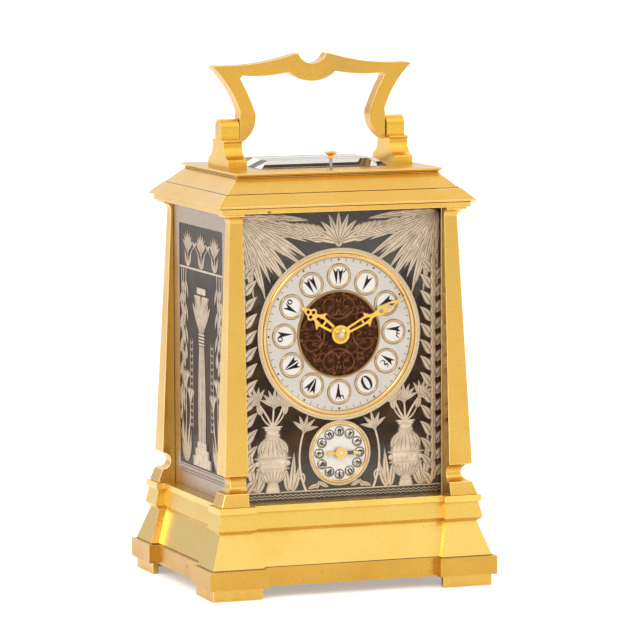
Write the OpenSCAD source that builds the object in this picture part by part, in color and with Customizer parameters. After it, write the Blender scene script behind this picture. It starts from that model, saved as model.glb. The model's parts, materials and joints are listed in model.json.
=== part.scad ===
// Gilt brass carriage clock with an alarm dial, a repeat button and a swinging handle.
// Millimetres. The front faces -Y, Z is up, and the origin is the middle of the feet.

/* [Base] */
// Corner feet: width, depth and height over all four
foot_size = [111.2, 90.4, 4.4]; // [1:0.1:130]
// Half gaps between the feet along X and Y
foot_gap = [36, 26]; // [20:0.5:45]
// Wall of a foot
foot_wall = 2.4; // [1.5:0.1:4]
// Plinth: width, depth and height of its top
plinth_top = [114.4, 93.8, 11.4]; // [1:0.1:130]
// Sloped block: width, depth and height of its foot
slope_low = [111.4, 91.2, 11.4]; // [1:0.1:130]
// Sloped block: width, depth and height of its top
slope_high = [102.4, 82.0, 24.2]; // [1:0.1:130]
// Frieze: width, depth and height of its lower edge
frieze_low = [105.4, 86.8, 25.9]; // [1:0.1:130]
// Frieze: width, depth and height of its top
frieze_high = [102.7, 83.9, 32.0]; // [1:0.1:130]
// Base plate: width, depth and height of its top
base_plate_top = [104.6, 86.6, 34.4]; // [1:0.1:130]
// How far the middle of each side stands back from the corner blocks
side_recess = 3.0; // [1:0.1:4]
// The same on the front and back of the plinth
plinth_recess = 4.2; // [1:0.1:5]

/* [Columns] */
// Column foot: half width and half depth of the case at its bottom
column_foot = [50.9, 42.5]; // [30:0.1:55]
// Column shaft: half width and half depth of the case at its bottom
shaft_low = [49.3, 41.3]; // [30:0.1:55]
// Column shaft: half width and half depth of the case at its top
shaft_high = [45.3, 36.3]; // [30:0.1:55]
// Half width of the front opening and half depth of the side opening
opening_half = [40.0, 31.8]; // [25:0.1:45]
// Height of the neck groove's middle
groove_z = 42.7; // [40:0.1:46]
// Radius of the neck groove
groove_r = 3.25; // [1:0.05:4]
// Height where the shaft ends and the flared cap starts
cap_z = 139.3; // [130:0.1:142]
// Radius of the flared cap's hollow curve
cap_r = 2.8; // [1:0.1:4]
// Height of the columns' tops
column_top = 143.0; // [140:0.1:150]

/* [Roof] */
// Fascia under the roof: width, depth and height of its top
fascia_top = [98.9, 79.5, 145.3]; // [1:0.1:160]
// Roof edge: width, depth and height of its top
eaves_top = [102.1, 82.2, 145.9]; // [1:0.1:160]
// Lower roof slope: width, depth and height of its top
lower_roof = [93.7, 73.4, 149.9]; // [1:0.1:160]
// Upper roof slope: width, depth and height of its top
upper_roof = [79.9, 60.0, 155.7]; // [1:0.1:160]
// Top plate: width, depth and height of its top
top_plate = [82.2, 63.5, 157.5]; // [1:0.1:160]
// Half width and half depth of the top glass opening
top_opening = [25.3, 15.5]; // [10:0.1:30]
// Width of the bevel round the top glass
top_bevel = 3.7; // [2:0.1:6]
// Highest point of the top glass, which stands proud of the roof
top_glass_high = 160.4; // [158:0.1:162]

/* [Handle] */
// Inner and outer faces of a handle bracket, measured from the middle
bracket_x = [29.65, 36.9]; // [20:0.05:42]
// Height of the handle's pivot
pivot_z = 172.3; // [165:0.1:180]
// Thickness of the handle
handle_thick = 5.8; // [3:0.1:8]
// Highest point of the raised handle
handle_top = 200; // [180:1:220]

/* [Glass and panels] */
// Back face of the front glass, and its thickness
front_glass_y = [-33.2, 2.0]; // [-40:0.1:5]
// Width of the bevel round the front glass
front_bevel = 2.8; // [1:0.1:5]
// Outer face of a side panel, and its thickness
panel_x = [44.2, 1.5]; // [1:0.1:45]
// Engraved field of a side panel: half width, bottom and top
panel_field = [25.0, 43.4, 135.3]; // [20:0.1:140]
// Depth of the engraved field
panel_sunk = 0.25; // [0.1:0.05:0.5]
// Middle of the door's thickness
door_y = 34.0; // [33:0.1:36]
// Thickness of the door
door_thick = 3.8; // [3:0.1:5]

/* [Dial] */
// Height of the main dial's centre
dial_z = 96.1; // [90:0.1:100]
// Height of the alarm dial's centre
alarm_z = 51.3; // [48:0.1:55]
// Front face of the mask
mask_y = -30.0; // [-31:0.1:-29]
// Outer and inner radius of the main bezel
bezel_r = [32.45, 28.7]; // [20:0.05:34]
// Outer and inner radius of the alarm bezel
alarm_bezel_r = [12.3, 10.4]; // [8:0.05:13]
// Radius of the ring of hour plaques, and of one plaque with its rim
plaque_r = [21.8, 3.95, 4.7]; // [1:0.05:25]
// Radius of the ring of alarm plaques, and of one plaque
alarm_plaque_r = [8.1, 1.9]; // [1:0.05:10]
// Radius of the chased centre disc
centre_disc_r = 15.9; // [12:0.1:17]
// Lengths of the hour hand and the minute hand
hand_length = [18.8, 28.6]; // [10:0.1:29]
// Clockwise turn of the hour hand and the minute hand from twelve
hand_turn = [305, 63]; // [0:1:359]

/* [Movement] */
// Pressure angle of the wheels
press_angle = 28; // [20:1:30]
// Thinning of each tooth flank
flank_play = 0.045; // [0.02:0.005:0.08]
// Half width of the movement plates
plate_half = 34; // [30:0.5:38]
// Top of the movement plates
plate_top = 124; // [118:0.5:128]
// Front and back faces of the front plate
front_plate_y = [-22, -20]; // [-24:0.5:-18]
// Front and back faces of the back plate
back_plate_y = [14, 16]; // [10:0.5:18]
// Place of the going barrel: X and Z; the strike barrel mirrors it
barrel_at = [17, 64]; // [10:0.5:70]
// Teeth of a barrel and of the pinion it drives
barrel_teeth = [72, 12]; // [8:1:90]
// Teeth of the intermediate wheel and of the centre pinion
intermediate_teeth = [60, 12]; // [8:1:90]
// Teeth of the centre wheel and of the third pinion
centre_teeth = [64, 8]; // [8:1:90]
// Teeth of the third wheel and of the contrate pinion
third_teeth = [60, 8]; // [8:1:90]
// Teeth of the contrate wheel and of the escape pinion
contrate_teeth = [60, 6]; // [6:1:90]
// Teeth of the strike barrel's pinion, the pin wheel and the fly pinion
strike_teeth = [8, 56, 8]; // [8:1:90]
// Radial gap of a turning pivot
pivot_gap = 0.06; // [0.03:0.01:0.1]

/* [Hidden] */
$fn = 48;

// Colours of the finishes
gilt = "#e0b04e";
silvered = "#c9c0b2";
brass = "#cfa550";
steel = "#8d9096";
blued = "#2f3a55";
copper = "#4a2a1e";
clear = "#cfe4ea";
white = "#efece4";

// Larger than the clock, for cuts that go right through
far = 130;
seat = column_top - 0.05;
base_top = base_plate_top[2];

// Blocks whose four sides lean, from one level [width, depth, height] to the next
module tapered(low, high) {
  intersection() {
    translate([0, far, 0])
      rotate([90, 0, 0])
        linear_extrude(2 * far)
          polygon([[-low[0] / 2, low[2]], [low[0] / 2, low[2]],
                   [high[0] / 2, high[2]], [-high[0] / 2, high[2]]]);
    translate([-far, 0, 0])
      rotate([90, 0, 90])
        linear_extrude(2 * far)
          polygon([[-low[1] / 2, low[2]], [low[1] / 2, low[2]],
                   [high[1] / 2, high[2]], [-high[1] / 2, high[2]]]);
  }
}

module block(size, z) {
  tapered([size[0], size[1], z], [size[0], size[1], size[2]]);
}

// A course of the base: leaning corner blocks that stand out from a set-back middle
module breakfront(low, high, gap_low, gap_high, back) {
  lift = (high[2] - low[2]) * 0.05;
  difference() {
    tapered(low, high);
    tapered([2 * gap_low[0] - 0.1, far, low[2] - lift], [2 * gap_high[0], far, high[2] + lift]);
    tapered([far, 2 * gap_low[1] - 0.1, low[2] - lift], [far, 2 * gap_high[1], high[2] + lift]);
  }
  tapered([low[0] - 2 * back[0], low[1] - 2 * back[1], low[2]],
          [high[0] - 2 * back[0], high[1] - 2 * back[1], high[2]]);
}

// Extrudes a shape drawn in X and Z between two depths
module slab(y0, y1) {
  translate([0, y1, 0])
    rotate([90, 0, 0])
      linear_extrude(y1 - y0)
        children();
}

// A round bar along Y at a place [x, z]
module rod(at, y0, y1, r) {
  translate([at[0], 0, at[1]])
    slab(y0, y1)
      circle(r);
}

// Turns a profile [radius, height] round an axis along -Y at a place [x, z]
module turned(at, y) {
  translate([at[0], y, at[1]])
    rotate([90, 0, 0])
      rotate_extrude($fn = 96)
        children();
}

function polar(r, a) = [r * cos(a), r * sin(a)];
function arc(c, r, a0, a1, n) = [for (i = [0 : n]) c + polar(r, a0 + (a1 - a0) * i / n)];

// Base
foot_z = foot_size[2];
base_wall = 6;

module corner_feet() {
  color(gilt)
    difference() {
      block(foot_size, 0);
      block([foot_size[0] - 2 * foot_wall, foot_size[1] - 2 * foot_wall, far], -1);
      block([2 * foot_gap[0], far, far], -1);
      block([far, 2 * foot_gap[1], far], -1);
    }
}

module base_moulding() {
  plinth_gap = [34.3, 25.1];
  slope_gap = [35.1, 27.1];
  slope_gap_high = [39.0, 31.4];
  frieze_gap = [37.6, 30.0];
  frieze_gap_high = [38.4, 31.0];
  back = [side_recess, side_recess];
  cove_low = [slope_high[0], slope_high[1], slope_high[2]];
  color(gilt)
    difference() {
      union() {
        breakfront([plinth_top[0], plinth_top[1], foot_z], plinth_top, plinth_gap,
                   plinth_gap, [side_recess, plinth_recess]);
        breakfront(slope_low, slope_high, slope_gap, slope_gap_high, back);
        breakfront(cove_low, frieze_low, slope_gap_high, frieze_gap, back);
        breakfront(frieze_low, frieze_high, frieze_gap, frieze_gap_high, back);
      }
      tapered([plinth_top[0] - 4 * base_wall, plinth_top[1] - 4 * base_wall, foot_z - 1],
              [frieze_high[0] - 4 * base_wall, frieze_high[1] - 4 * base_wall,
               frieze_high[2] + 1]);
      block([plinth_top[0] - 3 * base_wall, plinth_top[1] - 3.5 * base_wall, foot_z + 1.6],
            foot_z - 1);
    }
}

module bottom_cover() {
  color(brass)
    block([plinth_top[0] - 3 * base_wall - 0.2, plinth_top[1] - 3.5 * base_wall - 0.2,
           foot_z + 1.5], foot_z);
}

hinge_at = [37.6, door_y];
hinge_pin_r = 1.0;

module base_plate() {
  plate_gap = [37.4, 30.5];
  low = [base_plate_top[0], base_plate_top[1], frieze_high[2]];
  color(gilt)
    difference() {
      breakfront(low, base_plate_top, plate_gap, plate_gap, [side_recess, side_recess]);
      translate([hinge_at[0], hinge_at[1], base_top - 1.4])
        cylinder(h = 5, r = hinge_pin_r + pivot_gap);
    }
}

// Columns
function column_profile(i, inner) = concat(
  [[inner, base_top], [column_foot[i], base_top], [column_foot[i], base_top + 0.7],
   [shaft_low[i], groove_z - groove_r], [shaft_low[i], groove_z + groove_r]],
  arc([shaft_high[i] + cap_r, cap_z], cap_r, 180, 90, 6),
  [[shaft_high[i] + cap_r, column_top], [inner, column_top]]);

glass_edge = 1.0;

module column(sx, sy) {
  grooved = sy < 0 ? 1 : 0;
  color(gilt)
    mirror([sx < 0 ? 1 : 0, 0, 0])
      mirror([0, sy < 0 ? 1 : 0, 0])
        difference() {
          intersection() {
            slab(0, far)
              polygon(column_profile(0, opening_half[0]));
            rotate([90, 0, 90])
              linear_extrude(far)
                polygon(column_profile(1, opening_half[1]));
          }
          rod([shaft_low[0], groove_z], 0, far, groove_r);
          translate([0, shaft_low[1], groove_z])
            rotate([0, 90, 0])
              cylinder(h = far, r = groove_r);
          translate([panel_x[0] - panel_x[1] - 0.05, 0, 0])
            cube([panel_x[1] + 0.1, opening_half[1] + 1.2, far * 2]);
          if (grooved == 1)
            translate([0, -front_glass_y[0] - 0.05, 0])
              cube([opening_half[0] + 1.5, glass_edge + 0.1, far * 2]);
        }
}

module column_front_left() { column(-1, -1); }
module column_front_right() { column(1, -1); }
module column_back_left() { column(-1, 1); }
module column_back_right() { column(1, 1); }

// Roof
button_y = -22.2;
button_stem_r = 0.6;
bush_r = 1.8;
bush_low = 155.5;
spring_low = 148.3;
spring_high = 154.4;
glass_ledge = 155.4;

module roof_casting() {
  ledge_w = 1.1;
  rim = 0.5;
  boss = 3.4;
  roof_hollow = [2 * opening_half[0] - 1, 2 * opening_half[1] - 1, column_top - 1];
  color(gilt)
    difference() {
      union() {
        difference() {
          union() {
            block(fascia_top, column_top);
            block(eaves_top, fascia_top[2]);
            tapered(eaves_top, lower_roof);
            tapered([lower_roof[0] - 2 * rim, lower_roof[1] - 2 * rim, lower_roof[2]], upper_roof);
            tapered(upper_roof, [top_plate[0], top_plate[1], top_plate[2] - 0.6]);
            block(top_plate, top_plate[2] - 0.6);
          }
          tapered(roof_hollow, [68, 50, 152.5]);
        }
        translate([0, button_y, spring_low - 1.3])
          cylinder(h = 6, r = boss);
      }
      block([2 * top_opening[0], 2 * top_opening[1], far * 2], glass_ledge);
      block([2 * (top_opening[0] - ledge_w), 2 * (top_opening[1] - ledge_w), far * 2], 140);
      translate([0, button_y, 140])
        cylinder(h = 30, r = button_stem_r + pivot_gap);
      translate([0, button_y, spring_low])
        cylinder(h = 20, r = bush_r);
      translate([hinge_at[0], hinge_at[1], column_top - 1])
        cylinder(h = 2.4, r = hinge_pin_r + pivot_gap);
    }
}

module top_glass() {
  w = 2 * top_opening[0] - 0.2;
  d = 2 * top_opening[1] - 0.2;
  edge_z = top_plate[2] + 0.1;
  color(clear, 0.4)
    union() {
      block([w, d, edge_z], glass_ledge + 0.05);
      tapered([w, d, edge_z], [w - 2 * top_bevel, d - 2 * top_bevel, top_glass_high]);
    }
}

module front_glass() {
  edge = opening_half[0] + 1.4;
  y = front_glass_y[0];
  low = base_top + 0.05;
  rise = seat - low;
  mid = (seat + low) / 2;
  flat_w = 2 * (opening_half[0] - front_bevel);
  color(clear, 0.4)
    union() {
      translate([-edge, y - glass_edge, low])
        cube([2 * edge, glass_edge, rise]);
      translate([0, y, mid])
        rotate([90, 0, 0])
          tapered([2 * opening_half[0], rise - 0.8, glass_edge],
                  [flat_w, rise - 0.8 - 2 * front_bevel, front_glass_y[1]]);
    }
}

module side_panel(side) {
  low = base_top + 0.05;
  half = opening_half[1] + 1.15;
  color(silvered)
    mirror([side < 0 ? 1 : 0, 0, 0])
      difference() {
        translate([panel_x[0] - panel_x[1], -half, low])
          cube([panel_x[1], 2 * half, seat - low]);
        translate([panel_x[0] - panel_sunk, -panel_field[0], panel_field[1]])
          cube([panel_sunk + 1, 2 * panel_field[0], panel_field[2] - panel_field[1]]);
      }
}

module side_panel_left() { side_panel(-1); }
module side_panel_right() { side_panel(1); }

// Handle and its brackets
pin_r = 1.5;
plate_z = top_plate[2];

module handle_bracket(side) {
  base_half = 11.7;
  neck_half = 6.3;
  nib_half = 7.0;
  ear_half = 3.5;
  step_z = plate_z + 3.5;
  nib_z = 168.1;
  hollow = base_half - neck_half;
  right_side = concat([[base_half, plate_z], [base_half, step_z - 0.6], [base_half - 0.6, step_z]],
                 arc([base_half, step_z + hollow], hollow, 264, 186, 8),
                 [[neck_half, 166.9], [nib_half, 167.4], [nib_half, nib_z], [ear_half, nib_z]],
                 arc([0, pivot_z], ear_half, 0, 90, 8));
  left_side = [for (i = [len(right_side) - 1 : -1 : 0]) [-right_side[i][0], right_side[i][1]]];
  color(gilt)
    mirror([side < 0 ? 1 : 0, 0, 0])
      difference() {
        translate([bracket_x[0], 0, 0])
          rotate([90, 0, 90])
            linear_extrude(bracket_x[1] - bracket_x[0])
              polygon(concat(right_side, left_side));
        translate([bracket_x[0] - 1, 0, pivot_z])
          rotate([0, 90, 0])
            cylinder(h = 10, r = pin_r);
        translate([bracket_x[1] - 1.2, 0, pivot_z])
          rotate([0, 90, 0])
            cylinder(h = 3, r = 2.3);
      }
}

module handle_bracket_left() { handle_bracket(-1); }
module handle_bracket_right() { handle_bracket(1); }

// Half of the handle's outline, from the notch over the top down the outer edge and back
function handle_half() = concat(
  arc([0, handle_top + 2.0], 5.95, 270, 340.3, 6),
  arc([33.4, handle_top + 85.3], 89.47, 252.9, 273, 8),
  arc([66.0, handle_top - 33.3], 38.73, 132.1, 162.2, 7),
  [[29.3, 175.6], [29.3, 168.0], [28.6, 166.8], [27.9, 167.2]],
  arc([33.4, 176.3], 10.6, 238, 172, 7),
  [[23.5, 179.3], [24.9, 182.8], [26.6, 186.6], [28.9, 190.9]],
  arc([21.9, handle_top + 52.65], 60.97, 275.8, 258.4, 6),
  arc([0, handle_top + 3.3], 13.9, 311.8, 270, 6));

module carrying_handle() {
  half = handle_half();
  other = [for (i = [len(half) - 1 : -1 : 0]) [-half[i][0], half[i][1]]];
  color(gilt)
    difference() {
      slab(-handle_thick / 2, handle_thick / 2)
        polygon(concat(half, other));
      for (s = [-1, 1])
        translate([s * 27.2, 0, pivot_z])
          rotate([0, 90 * s, 0])
            translate([0, 0, -1.4])
              cylinder(h = 6, r = pin_r + pivot_gap);
    }
}

module handle_pivot_screws() {
  color(steel)
    for (s = [-1, 1])
      translate([0, 0, pivot_z])
        rotate([0, 90 * s, 0])
          union() {
            translate([0, 0, 26.0])
              cylinder(h = 10.0, r = pin_r);
            translate([0, 0, bracket_x[1] - 1.2])
              cylinder(h = 1.1, r = 2.25);
          }
}

// Door at the back
door_low = base_top + 0.5;
door_high = column_top - 0.5;
door_half = hinge_at[0] + door_thick / 2;
door_bar = 5.2;
knob_at = [-door_half + 2.7, 88.7];

module door_frame() {
  rebate = 1.0;
  y0 = door_y - door_thick / 2;
  y1 = door_y + door_thick / 2;
  inner = door_half - door_bar;
  color(gilt)
    difference() {
      union() {
        translate([-door_half, y0, door_low])
          cube([door_half + hinge_at[0], door_thick, door_high - door_low]);
        translate([hinge_at[0], hinge_at[1], door_low])
          cylinder(h = door_high - door_low, r = door_thick / 2);
        translate([hinge_at[0], hinge_at[1], base_top - 1.3])
          cylinder(h = column_top - base_top + 2.6, r = hinge_pin_r);
      }
      translate([-inner, y0 - 1, door_low + door_bar])
        cube([2 * inner, door_thick + 2, door_high - door_low - 2 * door_bar]);
      translate([-inner - rebate, y0 - 1, door_low + door_bar - rebate])
        cube([2 * (inner + rebate), 3.0, door_high - door_low - 2 * (door_bar - rebate)]);
      rod(knob_at, y0 - 1, y1 + 1, 0.8);
    }
}

module door_glass() {
  gap = 0.1;
  half = door_half - door_bar + 1.0 - gap;
  rise = door_high - door_low - 2 * (door_bar - 1.0) - 2 * gap;
  y = door_y - door_thick / 2;
  color(clear, 0.4)
    translate([0, y + 1.95, (door_low + door_high) / 2])
      rotate([-90, 0, 0])
        union() {
          block([2 * half, rise, 0], -1.9);
          tapered([2 * half - 2.2, rise - 2.2, 0], [2 * half - 8, rise - 8, 0.9]);
        }
}

module door_knob() {
  y1 = door_y + door_thick / 2;
  color(gilt)
    union() {
      rod(knob_at, door_y - 1.5, y1 + 0.5, 0.78);
      translate([knob_at[0], y1 + 0.02, knob_at[1]])
        rotate([-90, 0, 0])
          rotate_extrude()
            polygon(concat([[0, 0], [1.9, 0], [1.9, 0.6], [1.0, 1.0], [0.9, 1.9]],
                           arc([0, 3.4], 2.1, -38, 90, 7)));
    }
}

// Repeat button, its spring and the lever it works
stem_low = 130;

module repeat_button() {
  head_z = 164.2;
  color(gilt)
    translate([0, button_y, 0])
      union() {
        translate([0, 0, stem_low])
          cylinder(h = 161.7 - stem_low, r = button_stem_r);
        translate([0, 0, spring_high])
          cylinder(h = 1.0, r = 1.6);
        rotate_extrude()
          polygon([[0, 161.4], [0.9, 161.4], [1.1, 161.7], [1.1, 162.1], [0.95, 162.35],
                   [1.3, 162.75], [1.95, 163.25], [2.7, 163.65], [2.7, 163.85], [2.2, 164.05],
                   [1.2, head_z], [0, head_z]]);
      }
}

// Rings of six points swept round a helix, closed with flat caps
module spring_coil(r, wire, z0, z1, turns) {
  steps = turns * 12;
  ring = 6;
  points = [for (i = [0 : steps], j = [0 : ring - 1])
    let (a = 360 * turns * i / steps, b = 360 * j / ring, rr = r + wire * cos(b))
      [rr * cos(a), rr * sin(a), z0 + wire + (z1 - z0 - 2 * wire) * i / steps + wire * sin(b)]];
  sides = [for (i = [0 : steps - 1], j = [0 : ring - 1], k = [0, 1])
    let (a = i * ring + j, b = i * ring + (j + 1) % ring)
      k == 0 ? [a, b, a + ring] : [b, b + ring, a + ring]];
  last = steps * ring;
  first_cap = [for (j = [1 : ring - 2]) [0, j + 1, j]];
  last_cap = [for (j = [1 : ring - 2]) [last, last + j, last + j + 1]];
  polyhedron(points, concat(sides, first_cap, last_cap));
}

module repeat_spring() {
  color(steel)
    translate([0, button_y, 0])
      spring_coil(1.2, 0.2, spring_low + 0.02, spring_high - 0.02, 6);
}

module button_bush() {
  color(brass)
    translate([0, button_y, bush_low])
      difference() {
        cylinder(h = plate_z - bush_low, r = bush_r - 0.03);
        translate([0, 0, -1])
          cylinder(h = 10, r = button_stem_r + pivot_gap);
      }
}

lever_pivot = [24, 117];

module repeat_lever() {
  y0 = -24.0;
  y1 = front_plate_y[0] - 0.2;
  tip = [0, stem_low - 0.2];
  pad = 1.2;
  color(steel)
    difference() {
      union() {
        slab(y0, y1)
          union() {
            translate(lever_pivot)
              circle(3);
            polygon([lever_pivot + [1.5, -2.5], lever_pivot + [0.5, 2.9], [6, tip[1]],
                     [-3, tip[1]], [-3, tip[1] - pad], [5, tip[1] - 2.2]]);
          }
        translate([-2.5, y1 - 0.1, tip[1] - pad])
          cube([5, 1.7, pad]);
      }
      rod(lever_pivot, y0 - 1, y1 + 1, 0.8 + pivot_gap);
    }
}

// Dial, seen through the front glass
dial_at = [0, dial_z];
alarm_at = [0, alarm_z];
mask_thick = 1.2;
dial_back = mask_y + mask_thick;
chapter_out = 29.95;
disc_front = mask_y + 0.55;
hour_pipe_r = 1.9;
feet_at = [[-28, 44], [28, 44], [-28, 120], [28, 120]];

module dial_mask() {
  half = 41.8;
  color(silvered)
    slab(mask_y, dial_back)
      difference() {
        translate([-half, base_top + 0.1])
          square([2 * half, column_top - base_top - 0.3]);
        translate(dial_at)
          circle(chapter_out + 0.05, $fn = 96);
        translate(alarm_at)
          circle(alarm_bezel_r[0] - 0.85);
      }
}

module dial_plate() {
  back = dial_back + 1.2;
  color(brass)
    union() {
      slab(dial_back, back)
        difference() {
          translate([-36, 38])
            square([72, 90]);
          translate(dial_at)
            circle(hour_pipe_r + 0.3);
          translate(alarm_at)
            circle(1.2);
        }
      for (p = feet_at)
        rod(p, back - 0.1, front_plate_y[0], 1.2);
    }
}

// Thin flat rim outside, half-round bead inside
module bezel_profile(outer, inner, bead) {
  union() {
    translate([inner + 2 * bead - 0.1, 0])
      square([outer - inner - 2 * bead + 0.1, 0.45]);
    intersection() {
      translate([inner + bead, 0])
        circle(bead, $fn = 32);
      translate([inner, 0])
        square([2 * bead, bead]);
    }
  }
}

module dial_bezels() {
  color(gilt)
    union() {
      turned(dial_at, mask_y)
        bezel_profile(bezel_r[0], bezel_r[1], 0.95);
      turned(alarm_at, mask_y)
        bezel_profile(alarm_bezel_r[0], alarm_bezel_r[1], 0.6);
    }
}

module chapter_ring() {
  lip = 0.5;
  color(silvered)
    turned(dial_at, dial_back)
      polygon([[centre_disc_r + lip, 0], [chapter_out, 0], [chapter_out, mask_thick],
               [centre_disc_r + lip + 0.35, mask_thick], [centre_disc_r + lip, mask_thick - 0.35]]);
}

// Shallow dome of radius r that rises h, with a short straight edge under it
function dome(r, h) =
  let (big = (r * r + h * h) / (2 * h), a = asin(r / big))
    concat([[0, 0], [r, 0]], arc([0, 0.1 + h - big], big, 90 - a, 90, 5));

module hour_plaques() {
  color(white)
    for (i = [1 : 12])
      turned(dial_at + polar(plaque_r[0], 90 - 30 * i), mask_y)
        polygon(dome(plaque_r[1] - 0.02, 0.35));
}

module hour_rims() {
  width = plaque_r[2] - plaque_r[1];
  color(gilt)
    for (i = [1 : 12])
      turned(dial_at + polar(plaque_r[0], 90 - 30 * i), mask_y)
        intersection() {
          translate([plaque_r[1] + width / 2, 0])
            circle(width / 2, $fn = 24);
          translate([plaque_r[1], 0])
            square(width);
        }
}

module centre_disc() {
  color(copper)
    difference() {
      rod(dial_at, disc_front, dial_back, centre_disc_r + 0.45);
      rod(dial_at, disc_front - 1, dial_back + 1, hour_pipe_r + 0.3);
    }
}

module alarm_dial() {
  color(white)
    difference() {
      union() {
        rod(alarm_at, mask_y, dial_back, alarm_bezel_r[0] - 0.9);
        for (i = [1 : 12])
          turned(alarm_at + polar(alarm_plaque_r[0], 90 - 30 * i), mask_y + 0.05)
            polygon(dome(alarm_plaque_r[1], 0.25));
      }
      rod(alarm_at, mask_y - 1, dial_back + 1, 1.2);
    }
}

// Motion work behind the dial plate
arbor_r = 0.8;
cannon_r = 1.3;
motion_reach = 9.6;
cannon_teeth = [12, 36];
hour_teeth = [10, 40];
minute_at = dial_at + polar(motion_reach, 205);

// Involute wheels
function involute(a) = tan(a) * 180 / PI - a;
function reach(m, teeth) = m * (teeth[0] + teeth[1]) / 2;
function flank(r, rp, z) =
  let (rb = rp * cos(press_angle))
    90 / z - flank_play / rp * 180 / PI + involute(press_angle)
    - involute(acos(min(1, rb / max(r, rb))));
function flank_radii(z, m) =
  let (rp = z * m / 2)
    z < 17 ? [rp - m, rp * cos(press_angle), rp, rp + 0.75 * m] : [rp - m, rp, rp + 0.75 * m];
function tooth_points(z, m) =
  let (rp = z * m / 2, radii = flank_radii(z, m), n = len(radii))
    [for (i = [0 : z - 1]) each concat(
      [for (k = [0 : n - 1]) polar(radii[k], 360 * i / z - flank(radii[k], rp, z))],
      [for (k = [n - 1 : -1 : 0]) polar(radii[k], 360 * i / z + flank(radii[k], rp, z))])];

// Turn of a driven wheel that puts a gap opposite the driver's tooth
function mesh_turn(from, to, turn, z_from, z_to) =
  let (line = atan2(to[1] - from[1], to[0] - from[0]))
    line + 180 - (turn - line) * z_from / z_to + 180 / z_to;

// Corner of a triangle from two known corners and the two other sides
function meet(p, rp, q, rq, side) =
  let (d = norm(q - p), u = (q - p) / d, a = (rp * rp - rq * rq + d * d) / (2 * d),
       h = sqrt(rp * rp - a * a))
    p + a * u + side * h * [-u[1], u[0]];

module pinion(at, z, m, turn, y0, y1) {
  translate([at[0], 0, at[1]])
    slab(y0, y1)
      rotate(turn)
        polygon(tooth_points(z, m));
}

// A crossed-out wheel with straight arms
module wheel(at, z, m, turn, y0, y1, arms, hub) {
  inner = z * m / 2 - 2.6 * m - 0.4;
  translate([at[0], 0, at[1]])
    slab(y0, y1)
      rotate(turn)
        union() {
          difference() {
            polygon(tooth_points(z, m));
            circle(inner);
          }
          circle(hub);
          for (i = [0 : arms - 1])
            rotate(360 * i / arms)
              translate([0, -0.7])
                square([inner + 0.2, 1.4]);
        }
}

// An arbor with thinner pivots in both plates
module arbor(at, r, pivot) {
  rod(at, front_plate_y[1] + 0.3, back_plate_y[0] - 0.3, r);
  rod(at, front_plate_y[0] + 0.1, back_plate_y[1] - 0.1, pivot);
}

module hand_arbor() {
  m = motion_reach * 2 / (cannon_teeth[0] + cannon_teeth[1]);
  color(steel)
    union() {
      rod(dial_at, -33.0, 21.0, arbor_r);
      rod(dial_at, -31.6, front_plate_y[0] - 0.2, cannon_r);
      pinion(dial_at, cannon_teeth[0], m, 0, -24.4, front_plate_y[0] - 0.2);
      translate([0, 19.0, dial_z])
        cube([1.9, 4.0, 1.9], center = true);
    }
}

module minute_wheel() {
  m_big = motion_reach * 2 / (cannon_teeth[0] + cannon_teeth[1]);
  m_small = motion_reach * 2 / (hour_teeth[0] + hour_teeth[1]);
  turn = mesh_turn(dial_at, minute_at, 0, cannon_teeth[0], cannon_teeth[1]);
  color(brass)
    difference() {
      union() {
        wheel(minute_at, cannon_teeth[1], m_big, turn, -24.0, -23.2, 4, 2.2);
        pinion(minute_at, hour_teeth[0], m_small, 0, -26.8, -23.9);
      }
      rod(minute_at, -30, -20, 0.7 + pivot_gap);
    }
}

module hour_wheel() {
  m = motion_reach * 2 / (hour_teeth[0] + hour_teeth[1]);
  turn = mesh_turn(minute_at, dial_at, 0, hour_teeth[0], hour_teeth[1]);
  color(brass)
    difference() {
      union() {
        wheel(dial_at, hour_teeth[1], m, turn, -26.6, -25.8, 4, 3.0);
        rod(dial_at, -31.2, -25.8, hour_pipe_r);
      }
      rod(dial_at, -40, -20, cannon_r + pivot_gap);
    }
}

// Hands, drawn pointing up and turned clockwise
module hand(y0, y1, turn) {
  translate([0, 0, dial_z])
    rotate([0, turn, 0])
      slab(y0, y1)
        children();
}

// Right half of an outline that starts and ends on the middle line, with its mirror image
function both(side) = concat(side, [for (i = [len(side) - 1 : -1 : 1]) [-side[i][0], side[i][1]]]);

// An opening across the middle line, with straight sides
module slot(half0, z0, half1, z1) {
  polygon([[-half0, z0], [half0, z0], [half1, z1], [-half1, z1]]);
}

// Spreading rails, two swept leaves, a trefoil pierced by three holes, and a flame-shaped tip
module trefoil_hand(hub, tip) {
  lobe = [1.05, 13.6];
  top_lobe = [0, 15.5];
  difference() {
    polygon(both(concat(
      arc([0, 0], hub, -90, 66, 12),
      [[1.95, 8.7], [2.6, 8.95], [3.75, 8.7], [3.3, 9.5], [2.3, 10.4], [1.55, 11.3], [1.3, 12.2]],
      arc(lobe, 1.35, -50, 60, 6),
      arc(top_lobe, 1.3, -20, 36, 4),
      [[0.72, 16.9], [0.95, 17.6], [0.12, tip]])));
    slot(0.5, hub + 0.6, 0.95, 7.2);
    slot(1.15, 8.0, 0.55, 11.2);
    for (x = [-1, 1])
      translate([x * lobe[0], lobe[1]])
        circle(0.7, $fn = 24);
    translate(top_lobe)
      circle(0.68, $fn = 24);
  }
}

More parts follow.
